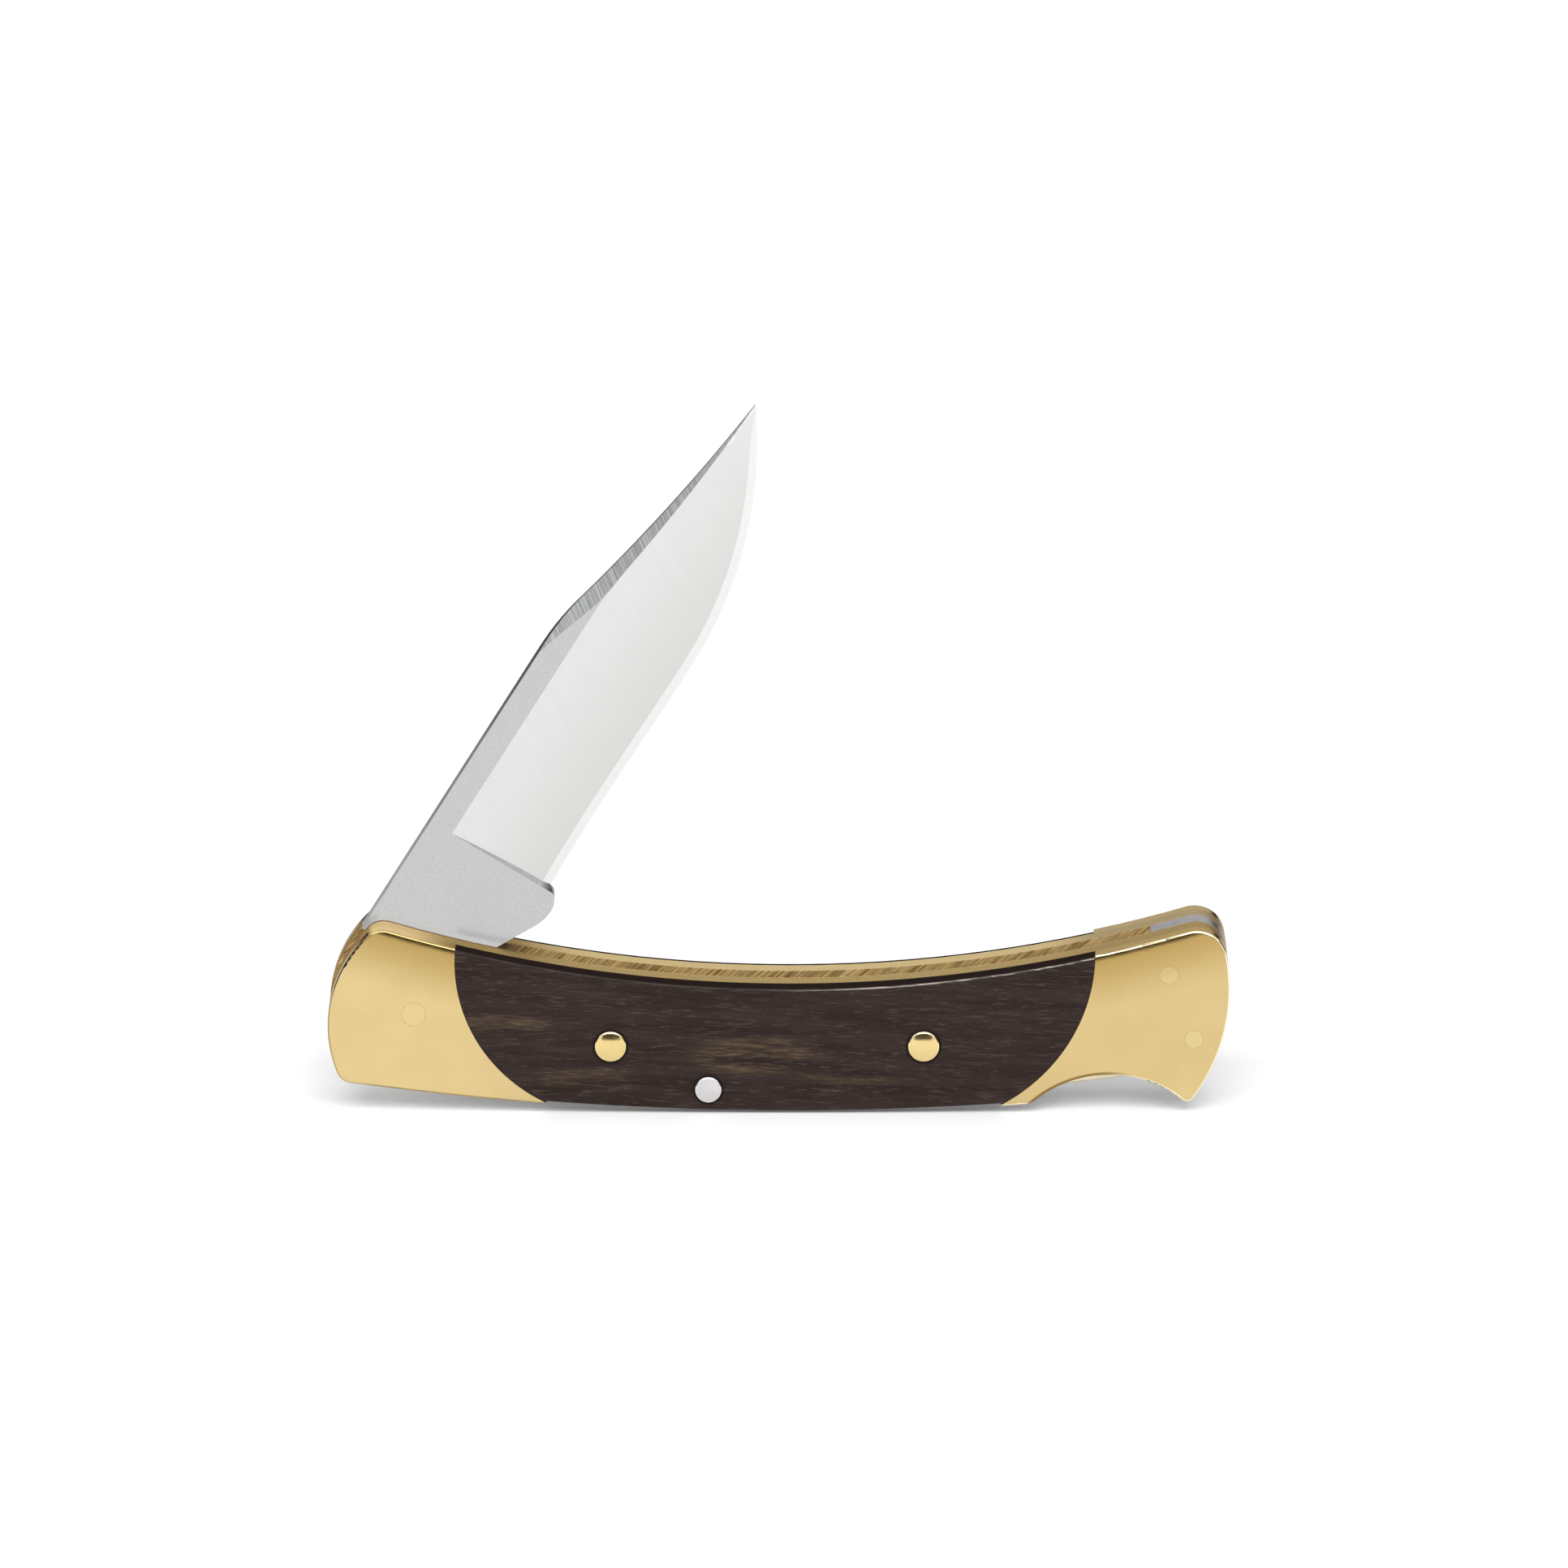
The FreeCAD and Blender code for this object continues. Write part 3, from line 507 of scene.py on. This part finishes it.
# %% [markdown]
# The rivets and the rocker pin were turned and polished. Their rounded rims are the brightest spots of
# the handle, so the finish paints a highlight tone on faces that lean away from the side.

# %% Turned metal for the pins
PIN_LINES = (0.001, 0.0001)
PIN_HIGHLIGHT_LEAN = (0.96, 0.85)
PIN_SPREAD = 0.06


def pin_finish(name, dull, bright, rim, rough):
    """Turned and polished metal with a faint cloudiness and a painted highlight on the rim."""
    made, tree, shader = new_finish(name, Metallic=1.0)
    marks = ground_lines(tree, turned_place(tree), *PIN_LINES)
    colour = blend_colours(tree, marks.outputs["Cloud"], tint(*dull), tint(*bright))
    # painted highlight: faces that lean away from the side take the bright rim tone
    colour = blend_colours(tree, fade(tree, facing(tree, "Y"), *PIN_HIGHLIGHT_LEAN), colour, tint(*rim))
    fill(tree, shader.inputs["Base Color"], pale_to_others(tree, colour))
    roughness = fade(tree, marks.outputs["Lines"], 0.0, 1.0, rough, rough + PIN_SPREAD)
    fill(tree, shader.inputs["Roughness"], roughness)
    return made


pin_brass = pin_finish("pin_brass", (229, 202, 138), (233, 208, 146), (255, 238, 190), 0.11)
nickel_silver = pin_finish("nickel_silver", (208, 205, 206), (218, 216, 216), (255, 254, 254), 0.15)
print("made", pin_brass.name, nickel_silver.name)

# %% [markdown]
# The liners were ground flat before the knife was put together. The slanting marks on their inner faces
# show in the slot, where the rough surface scatters the light from above. Their top edges were ground
# again with the rest of the handle and are smoother. Beside the tang they carry a painted reflection,
# dull and dark, with a painted shadow along the slot and a paler painted front corner; their end faces
# are painted a brown shade.

# %% Ground brass for the liners
LINER_TOP_PAINTED_REFLECTION = tint(168, 144, 96)
LINER_CORNER_PAINTED_LIGHT = tint(220, 196, 146)
LIP_PAINTED_SHADOW = tint(116, 98, 74)
LINER_END_PAINTED_SHADE = tint(158, 126, 76)
WALL_TONES = (tint(148, 117, 66), tint(234, 206, 150))

LINER_SLANT = math.radians(-40)
LINER_LINES = (0.005, 0.00018)
LINER_RELIEF = 0.000006
LINER_ROUGHNESS = (0.28, 0.75)
INNER_FACE = (0.0012, 0.00108)
LIP = (0.0014, 0.00125)
LINER_FRONT = (-0.018, -0.026)
LINER_BUTT = (0.025, 0.031)


def liner_finish(name, dull, bright, butt):
    """Flat-ground brass: slanting marks on the inner faces, smoother edges, with painted reflection and
    shade on the top edges and ends.
    """
    made, tree, shader = new_finish(name, Metallic=1.0, Specular_Tint=BRASS_GLANCE)
    place = turned_place(tree)
    along = axis_of(tree, place, "X")
    off_middle = maths(tree, "ABSOLUTE", axis_of(tree, place, "Y"))
    slanted = turned_place(tree, (0, LINER_SLANT, 0))
    lines = ground_lines(tree, slanted, *LINER_LINES).outputs["Lines"]
    front = fade(tree, along, *LINER_FRONT)
    # painted reflection on the front of the top edges: dark beside the tang, paler at the corner
    front_tone = blend_colours(tree, fade(tree, along, *FRONT_CORNER), LINER_TOP_PAINTED_REFLECTION, LINER_CORNER_PAINTED_LIGHT)
    edge = blend_colours(tree, lines, tint(*dull), tint(*bright))
    edge = blend_colours(tree, front, edge, front_tone)
    # painted shadow along the lip of the slot at the front
    lip = maths(tree, "MULTIPLY", fade(tree, off_middle, *LIP), front)
    edge = blend_colours(tree, lip, edge, LIP_PAINTED_SHADOW)
    # painted reflection: the top edges take a tone of their own at the butt
    edge = blend_colours(tree, fade(tree, along, *LINER_BUTT), edge, tint(*butt))
    # painted shade: the end faces of the liners are painted brown
    ends = fade(tree, facing(tree, "X"), *END_FACES)
    edge = blend_colours(tree, ends, edge, LINER_END_PAINTED_SHADE)
    wall = blend_colours(tree, lines, *WALL_TONES)
    inner = fade(tree, off_middle, *INNER_FACE)
    colour = blend_colours(tree, inner, edge, wall)
    fill(tree, shader.inputs["Base Color"], pale_to_others(tree, colour))
    rough = fade(tree, inner, 0.0, 1.0, *LINER_ROUGHNESS)
    rubbed = maths(tree, "MULTIPLY", front, RUBBED_ROUGHNESS)
    fill(tree, shader.inputs["Roughness"], maths(tree, "MAXIMUM", rough, rubbed))
    emboss(tree, shader, maths(tree, "MULTIPLY", lines, LINER_RELIEF))
    return made


# the near (right) liner's top edges are painted darker as shade; the far (left) one is painted greyer at the
# butt as a reflection
left_liner_brass = liner_finish("left_liner_brass", (222, 199, 148), (238, 217, 170), (186, 170, 136))
right_liner_brass = liner_finish("right_liner_brass", (176, 153, 105), (200, 176, 128), (176, 153, 108))
print("made", left_liner_brass.name, right_liner_brass.name)

# %% [markdown]
# ## Dark wood
# The scales are a close-grained, nearly black wood. The grain runs along the handle: short pale dashes
# where pores were cut, and broad streaks that turn brown in a few long patches. Noise that is stretched
# along X gives both. The corner below the slot carries a painted pale highlight, and a dark ring of finish
# has gathered round each pin.

# %% Places on the scales
PIN_PLACES = {
    "front_scale": (-0.016, 0.00666, 0.00155),
    "rear_scale": (0.0138, 0.00666, 0.00155),
    "rocker": (-0.0067, 0.0024, 0.0013),
}
BROWN_PATCHES = (
    (-0.0023, 0.0058, 0.0075, 0.0024, 1.0),
    (-0.0262, 0.0090, 0.0055, 0.0013, 0.6),
    (-0.0185, 0.0034, 0.0065, 0.0015, 0.55),
    (0.0068, 0.0031, 0.0060, 0.0018, 0.6),
)


def near_pins(tree, place, width):
    """1 next to a pin, 0 from so many metres off its rim."""
    ring = 0.0
    for x, z, radius in PIN_PLACES.values():
        far = distance(tree, place, (x, z))
        ring = maths(tree, "MAXIMUM", fade(tree, far, radius + width, radius), ring)
    return ring


def brown_patches(tree, place):
    """Patches of browner figure: each has its strength in the middle and 0 from its oval outline on."""
    patch = 0.0
    for x, z, half_length, half_width, strength in BROWN_PATCHES:
        far = squared_distance(tree, place, (x, z), (half_length, half_width))
        patch = maths(tree, "MAXIMUM", fade(tree, far, 1.0, 0.0, 0.0, strength), patch)
    return patch


print(len(PIN_PLACES), "pins and", len(BROWN_PATCHES), "brown patches on each scale")

# %% [markdown]
# The finish adds these up from the bottom: streaks, brown figure, pores, a painted highlight line a little
# below the slot edge, painted shade on the edge above it, and the rings round the pins.

# %% Dark wood
WOOD_TONES = (tint(42, 33, 30), tint(54, 43, 40))
FIGURE_BROWN = tint(90, 74, 57)
PORE_TONES = (tint(79, 69, 64), tint(105, 90, 70))
PAINTED_CORNER_HIGHLIGHT = tint(196, 186, 176)
PAINTED_SHADE_WOOD = tint(30, 21, 19)
RING_WOOD = tint(30, 22, 20)

GRAIN_TILT = math.radians(2.0)
STREAK_LINES = (0.012, 0.0011)
PORE_LINES = (0.0016, 0.00017)
PORE_RELIEF = -0.000006
WOOD_ROUGHNESS = (0.42, 0.6)
WOOD_SHINE = 0.06
RING_WIDTH = 0.00035

FIGURE_STREAKS = (0.1, 0.9)
FIGURE_PORES = (0.2, 0.8, 0.3, 1.0)
PALE_PORES = (0.72, 1.0, 0.0, 0.55)
HIGHLIGHT_UPPER = (0.22, 0.27)
HIGHLIGHT_LOWER = (0.36, 0.3)
HIGHLIGHT_STREAKS = (0.25, 0.7, 0.15, 1.0)
HIGHLIGHT_ALONG = (-0.004, 0.016, 0.06, 1.0)
DARK_EDGE = (0.26, 0.18)


def wood_finish():
    """Oiled black-brown wood with streaks and pores along the handle."""
    made, tree, shader = new_finish("scale_wood", Specular_IOR_Level=WOOD_SHINE)
    place = turned_place(tree)
    grain = turned_place(tree, (0, GRAIN_TILT, 0))
    streaks = ground_lines(tree, grain, *STREAK_LINES).outputs["Lines"]
    pores = ground_lines(tree, grain, *PORE_LINES).outputs["Lines"]
    brown = maths(tree, "MULTIPLY", brown_patches(tree, place), fade(tree, streaks, *FIGURE_STREAKS))
    brown = maths(tree, "MULTIPLY", brown, fade(tree, pores, *FIGURE_PORES))
    base = blend_colours(tree, streaks, *WOOD_TONES)
    base = blend_colours(tree, brown, base, FIGURE_BROWN)
    pore_tone = blend_colours(tree, brown, *PORE_TONES)
    base = blend_colours(tree, fade(tree, pores, *PALE_PORES), base, pore_tone)
    depth = below_slot_edge(tree, place)
    # painted highlight: a pale line along the corner below the slot edge, broken by streaks, faint towards
    # the front
    rubbed = maths(tree, "MULTIPLY", fade(tree, depth, *HIGHLIGHT_UPPER), fade(tree, depth, *HIGHLIGHT_LOWER))
    rubbed = maths(tree, "MULTIPLY", rubbed, fade(tree, streaks, *HIGHLIGHT_STREAKS))
    highlight_reach = fade(tree, axis_of(tree, place, "X"), *HIGHLIGHT_ALONG)
    base = blend_colours(tree, maths(tree, "MULTIPLY", rubbed, highlight_reach), base, PAINTED_CORNER_HIGHLIGHT)
    # painted shade on the edge just below the slot edge; the same mask also makes it rough
    edge = fade(tree, depth, *DARK_EDGE)
    base = blend_colours(tree, edge, base, PAINTED_SHADE_WOOD)
    base = blend_colours(tree, near_pins(tree, place, RING_WIDTH), base, RING_WOOD)
    fill(tree, shader.inputs["Base Color"], base)
    rough = fade(tree, pores, 0.0, 1.0, *WOOD_ROUGHNESS)
    fill(tree, shader.inputs["Roughness"], maths(tree, "MAXIMUM", rough, edge))
    emboss(tree, shader, maths(tree, "MULTIPLY", pores, PORE_RELIEF))
    return made


wood = wood_finish()
print("made", wood.name)

# %% [markdown]
# ## Steel
# The blade was ground in several passes, and each left its own finish: a satin tang and flat, a bright
# hollow that is painted darker as shade towards the cutting edge, a swedge with lines across it on a tone
# painted dark as shade, a fresh cutting bevel, plain edges painted dark as shade, and a plunge wall painted
# dark as shade at the heel. The marks follow the blade, so its finishes read coordinates that are measured
# from the pivot, along and across the blade.

# %% Finishes of the blade
BLADE_TURN = math.radians(58.1)
PIVOT = (-0.0347, 0.0, 0.00986)
EVEN_THICKNESS = 1000.0
BLADE_SPREAD = 0.04
BLADE_RELIEF = 0.0000008
SWEDGE_RELIEF = 0.0000015
# painted shade: the hollow darkens towards the cutting edge
HOLLOW_EDGE_PAINTED_SHADE = ((205, 205, 203), 0.005, -0.0046)
# painted shade: the plunge wall darkens at the heel
HEEL_PAINTED_SHADE = ((70, 70, 70), -0.0038, -0.0052)


def blade_finish(name, dark, light, rough, length, width, slant=0, relief=BLADE_RELIEF, low_painted_shade=None):
    """Ground steel: lines of one length and width, slanted so many degrees from the blade's length.

    The low painted shade is a colour and the two heights across the blade between which the finish fades to
    it.
    """
    made, tree, shader = new_finish(name, Metallic=1.0)
    turn = (0, -BLADE_TURN - math.radians(slant), 0)
    marks = ground_lines(
        tree, turned_place(tree, turn, PIVOT, EVEN_THICKNESS if slant else 1.0), length, width,
    )
    colour = blend_colours(tree, marks.outputs["Lines"], tint(*dark), tint(*light))
    if low_painted_shade:
        tone, start, end = low_painted_shade
        across = axis_of(tree, turned_place(tree, (0, -BLADE_TURN, 0), PIVOT), "Z")
        colour = blend_colours(tree, fade(tree, across, start, end), colour, tint(*tone))
    fill(tree, shader.inputs["Base Color"], colour)
    roughness = fade(tree, marks.outputs["Cloud"], 0.0, 1.0, rough, rough + BLADE_SPREAD)
    fill(tree, shader.inputs["Roughness"], roughness)
    emboss(tree, shader, maths(tree, "MULTIPLY", marks.outputs["Lines"], relief))
    return made


BLADE_FINISHES = {
    "flat": blade_finish("blade_satin", (185, 185, 185), (195, 195, 195), 0.24, 0.0003, 0.00014),
    "hollow": blade_finish(
        "blade_hollow", (214, 214, 214), (217, 217, 216), 0.16, 0.004, 0.0012, 70, low_painted_shade=HOLLOW_EDGE_PAINTED_SHADE,
    ),
    "bevel": blade_finish("blade_bevel", (222, 222, 221), (230, 230, 229), 0.2, 0.001, 0.00008, 80),
    # the swedge's cross lines are real; its dark steel tone is painted shade
    "swedge": blade_finish(
        "blade_swedge", (134, 136, 137), (182, 183, 183), 0.3, 0.012, 0.00018, 57, SWEDGE_RELIEF,
    ),
    "wall": blade_finish(
        "blade_plunge", (182, 183, 184), (198, 198, 198), 0.3, 0.001, 0.0001, 90, low_painted_shade=HEEL_PAINTED_SHADE,
    ),
    # painted shade: the plain edges and the spine are painted nearly black
    "back": blade_finish("blade_back_painted_shade", (50, 51, 52), (80, 80, 81), 0.25, 0.0008, 0.0001),
}
print("made", ", ".join(finish.name for finish in BLADE_FINISHES.values()))

# %% [markdown]
# The spring and the lock bar are plain ground steel, with painted shade on their end faces. The end of
# the bar that the thumb presses has a warmer, paler tone, so it has a finish of its own.

# %% Finishes of the spring and the lock bar
STEEL_LINES = (0.004, 0.0001)
STEEL_SPREAD = 0.1
STEEL_ENDS = (0.4, 0.7)
STEEL_END_PAINTED_SHADE = tint(78, 66, 50)


def ground_metal(name, dark, light, rough):
    """Ground metal with lines along the handle and painted shade on its end faces."""
    made, tree, shader = new_finish(name, Metallic=1.0)
    marks = ground_lines(tree, turned_place(tree), *STEEL_LINES)
    colour = blend_colours(tree, marks.outputs["Lines"], tint(*dark), tint(*light))
    # painted shade: the end faces are painted a dark brown
    colour = blend_colours(tree, fade(tree, facing(tree, "X"), *STEEL_ENDS), colour, STEEL_END_PAINTED_SHADE)
    fill(tree, shader.inputs["Base Color"], pale_to_others(tree, colour))
    roughness = fade(tree, marks.outputs["Cloud"], 0.0, 1.0, rough, rough + STEEL_SPREAD)
    fill(tree, shader.inputs["Roughness"], roughness)
    return made


spring_steel = ground_metal("spring_steel", (132, 131, 133), (160, 159, 161), 0.3)
pad_steel = ground_metal("pad_steel", (222, 211, 178), (232, 222, 190), 0.35)
print("made", spring_steel.name, pad_steel.name)

# %% [markdown]
# ## The blade, face by face
# The solid is one blade, and its finishes meet exactly where the grinding passes met. A copy of its mesh
# is joined up, each face is sorted by the way it looks and where it lies along the blade, and the borders
# are kept sharp. The copy then stands for the solid.

# %% Sort the blade's faces
MERGE_DISTANCE = 1e-7
BLADE_SHARP_ANGLE = math.radians(20)
TANG_END = 0.0165
WALL_REACH = 0.018
SWEDGE_START = 0.034
FLAT_FOOT = 0.0055
HOLLOW_TOP = 0.00586


def grinding_pass(normal, centre):
    """Which pass made this face, from its normal and its middle in the blade's own axes."""
    if abs(normal.y) < 0.5 and normal.x < 0.45:
        return "back"
    if normal.x > 0.3 and centre.x < WALL_REACH:
        return "wall"
    if normal.z > 0.25 and centre.x > SWEDGE_START:
        return "swedge"
    if centre.x < TANG_END or (abs(normal.y) > 0.9999 and centre.z > FLAT_FOOT):
        return "flat"
    if normal.z < -0.15:
        return "bevel"
    return "hollow" if centre.z < HOLLOW_TOP else "flat"


def dressed_blade():
    """The blade with a finish for each grinding pass."""
    shape = bmesh.new()
    shape.from_mesh(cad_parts["blade"].data)
    bmesh.ops.remove_doubles(shape, verts=shape.verts, dist=MERGE_DISTANCE)
    to_blade = Matrix.Rotation(BLADE_TURN, 3, "Y")
    passes = list(BLADE_FINISHES)
    counts = dict.fromkeys(passes, 0)
    for face in shape.faces:
        centre = to_blade @ (face.calc_center_median() - Vector(PIVOT))
        made_by = grinding_pass(to_blade @ face.normal, centre)
        counts[made_by] += 1
        face.material_index = passes.index(made_by)
        face.smooth = True
    for edge in shape.edges:
        borders = {face.material_index for face in edge.link_faces}
        edge.smooth = len(borders) == 1 and edge.calc_face_angle(0.0) < BLADE_SHARP_ANGLE
    made = new_object("dressed_blade", shape)
    for finish in BLADE_FINISHES.values():
        made.data.materials.append(finish)
    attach(made, "blade")
    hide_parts("blade")
    print("blade faces:", counts)


dressed_blade()

# %% [markdown]
# ## Pins with a low crown
# The rivets and the rocker pin stand a little proud: a low crown, higher on the rivets, inside a rounded
# rim, which catches the light as a bright ring with a dark crescent at the top. Such a head is a turned
# shape, so its half profile is spun round the pin's axis and the rim is bevelled round.

# %% Turn the pins
PIN_TOP = 0.00472
RIVET_CROWN = 0.00026
ROCKER_CROWN = 0.0001
RIVET_FOOT = 0.00105
PIN_EDGE = 0.00022
EDGE_STEPS = 6
CROWN_STEPS = 10
STEPS_ROUND = 96
SAME_HEIGHT = 1e-6
PIN_SHARP_ANGLE = math.radians(40)


def half_profile(shape, radius, proud, crown):
    """Edges from the crown's middle to the rim: one vertex spun on the crown's own big circle."""
    ball = (radius ** 2 + crown ** 2) / (2 * crown)
    top = shape.verts.new((0, proud + crown, 0))
    bmesh.ops.spin(
        shape, geom=[top], cent=(0, proud + crown - ball, 0), axis=(0, 0, -1),
        dvec=(0, 0, 0), angle=math.asin(radius / ball), steps=CROWN_STEPS,
    )
    shape.verts.ensure_lookup_table()
    return max(shape.verts, key=lambda vertex: vertex.co.x)


def turned_pin(name, node, pin, sign, inner, crown, finish, both_ends=False):
    """A pin along Y from inner to its crowned head, on the side of the sign, or with a head on both."""
    x, z, radius = PIN_PLACES[pin]
    shape = bmesh.new()
    proud = PIN_TOP - crown
    rim = half_profile(shape, radius, proud, crown)
    foot = bmesh.ops.extrude_vert_indiv(shape, verts=[rim])["verts"][0]
    foot.co.y = inner
    if not both_ends:
        middle = bmesh.ops.extrude_vert_indiv(shape, verts=[foot])["verts"][0]
        middle.co.x = 0
    bmesh.ops.spin(
        shape, geom=shape.verts[:] + shape.edges[:], cent=(0, 0, 0), axis=(0, 1, 0), dvec=(0, 0, 0),
        angle=2 * math.pi, steps=STEPS_ROUND, use_merge=True,
    )
    bmesh.ops.remove_doubles(shape, verts=shape.verts, dist=MERGE_DISTANCE)
    ring = [edge for edge in shape.edges if all(abs(v.co.y - proud) < SAME_HEIGHT for v in edge.verts)]
    bmesh.ops.bevel(
        shape, geom=ring, offset=PIN_EDGE, segments=EDGE_STEPS, profile=0.5, affect="EDGES", material=-1,
    )
    if both_ends:
        half = shape.verts[:] + shape.edges[:] + shape.faces[:]
        bmesh.ops.mirror(shape, geom=half, axis="Y", merge_dist=SAME_HEIGHT)
    if sign < 0:
        bmesh.ops.scale(shape, verts=shape.verts, vec=(1, -1, 1))
    bmesh.ops.recalc_face_normals(shape, faces=shape.faces)
    bmesh.ops.translate(shape, verts=shape.verts, vec=(x, 0, z))
    for face in shape.faces:
        face.smooth = True
    for edge in shape.edges:
        edge.smooth = edge.calc_face_angle(0.0) < PIN_SHARP_ANGLE
    made = new_object(name, shape)
    made.data.materials.append(finish)
    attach(made, "handle")
    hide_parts(node)
    print(name, len(made.data.polygons), "faces")


for side, sign in (("left", 1), ("right", -1)):
    for end in ("front", "rear"):
        turned_pin(
            side + "_" + end + "_rivet", side + "_" + end + "_scale_pin", end + "_scale", sign,
            RIVET_FOOT, RIVET_CROWN, pin_brass,
        )
turned_pin(
    "rocker_rivet", "rocker_pin", "rocker", 1, 0.0, ROCKER_CROWN, nickel_silver, True,
)

# %% [markdown]
# ## The thumb pad
# The notch in the back bares the end of the lock bar, so that a thumb can press it in and free the blade.
# The bar's back runs straight across the notch there. A block of a few corners is extruded across the
# bar, its two long lower edges are rounded, and it moves with the bar.

# %% Make the thumb pad
PAD_CORNERS = (
    (0.0247, 0.00153), (0.0343, 0.00276), (0.0343, 0.0038),
    (0.0315, 0.0042), (0.0280, 0.00365), (0.0254, 0.00235),
)
PAD_LOWER_HEIGHT = 0.003
PAD_LONG_EDGE = 0.005
PAD_INSET = 0.00002
PAD_ROUNDING = 0.0002
PAD_STEPS = 4


def is_long_and_low(edge):
    """Whether an edge is one of the two that run along the bottom of the pad."""
    start, end = (vertex.co for vertex in edge.verts)
    along = abs(start.y - end.y) < MERGE_DISTANCE and abs(start.x - end.x) > PAD_LONG_EDGE
    return along and max(start.z, end.z) < PAD_LOWER_HEIGHT


def thumb_pad():
    """The bared end of the lock bar, a little narrower than the bar that it grows from."""
    half = max(abs(vertex.co.y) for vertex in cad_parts["lock_bar"].data.vertices) - PAD_INSET
    shape = bmesh.new()
    side = shape.faces.new([shape.verts.new((x, -half, z)) for x, z in PAD_CORNERS])
    pushed = bmesh.ops.extrude_face_region(shape, geom=[side])["geom"]
    moved = [part for part in pushed if isinstance(part, bmesh.types.BMVert)]
    bmesh.ops.translate(shape, verts=moved, vec=(0, 2 * half, 0))
    lower = [edge for edge in shape.edges if is_long_and_low(edge)]
    bmesh.ops.bevel(
        shape, geom=lower, offset=PAD_ROUNDING, segments=PAD_STEPS, profile=0.5, affect="EDGES", material=-1,
    )
    bmesh.ops.recalc_face_normals(shape, faces=shape.faces)
    open_edges = sum(1 for edge in shape.edges if not edge.is_manifold)
    made = new_object("thumb_pad", shape)
    made.data.materials.append(pad_steel)
    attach(made, "lock_bar")
    print("thumb pad:", len(made.data.polygons), "faces,", len(lower), "rounded,", open_edges, "open edges")


thumb_pad()

# %% [markdown]
# ## Finishes on the CAD pieces
# Every CAD node keeps its shape and gets one finish, by what it is made of.

# %% Put the finishes on
FINISHES = {
    "lock_bar": spring_steel, "lock_spring": spring_steel, "blade": BLADE_FINISHES["flat"],
    "rocker_pin": nickel_silver, "pivot_pin": pivot_brass, "upper_rear_pin": flush_brass,
    "lower_rear_pin": flush_brass, "left_liner": left_liner_brass, "right_liner": right_liner_brass,
    "left_scale": wood, "right_scale": wood,
    "left_front_bolster": left_bolster_brass, "left_rear_bolster": left_bolster_brass,
    "right_front_bolster": right_bolster_brass, "right_rear_bolster": right_bolster_brass,
}
for name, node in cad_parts.items():
    finish = FINISHES.get(name, pin_brass)
    node.data.materials.clear()
    node.data.materials.append(finish)
    print(name, "->", finish.name)
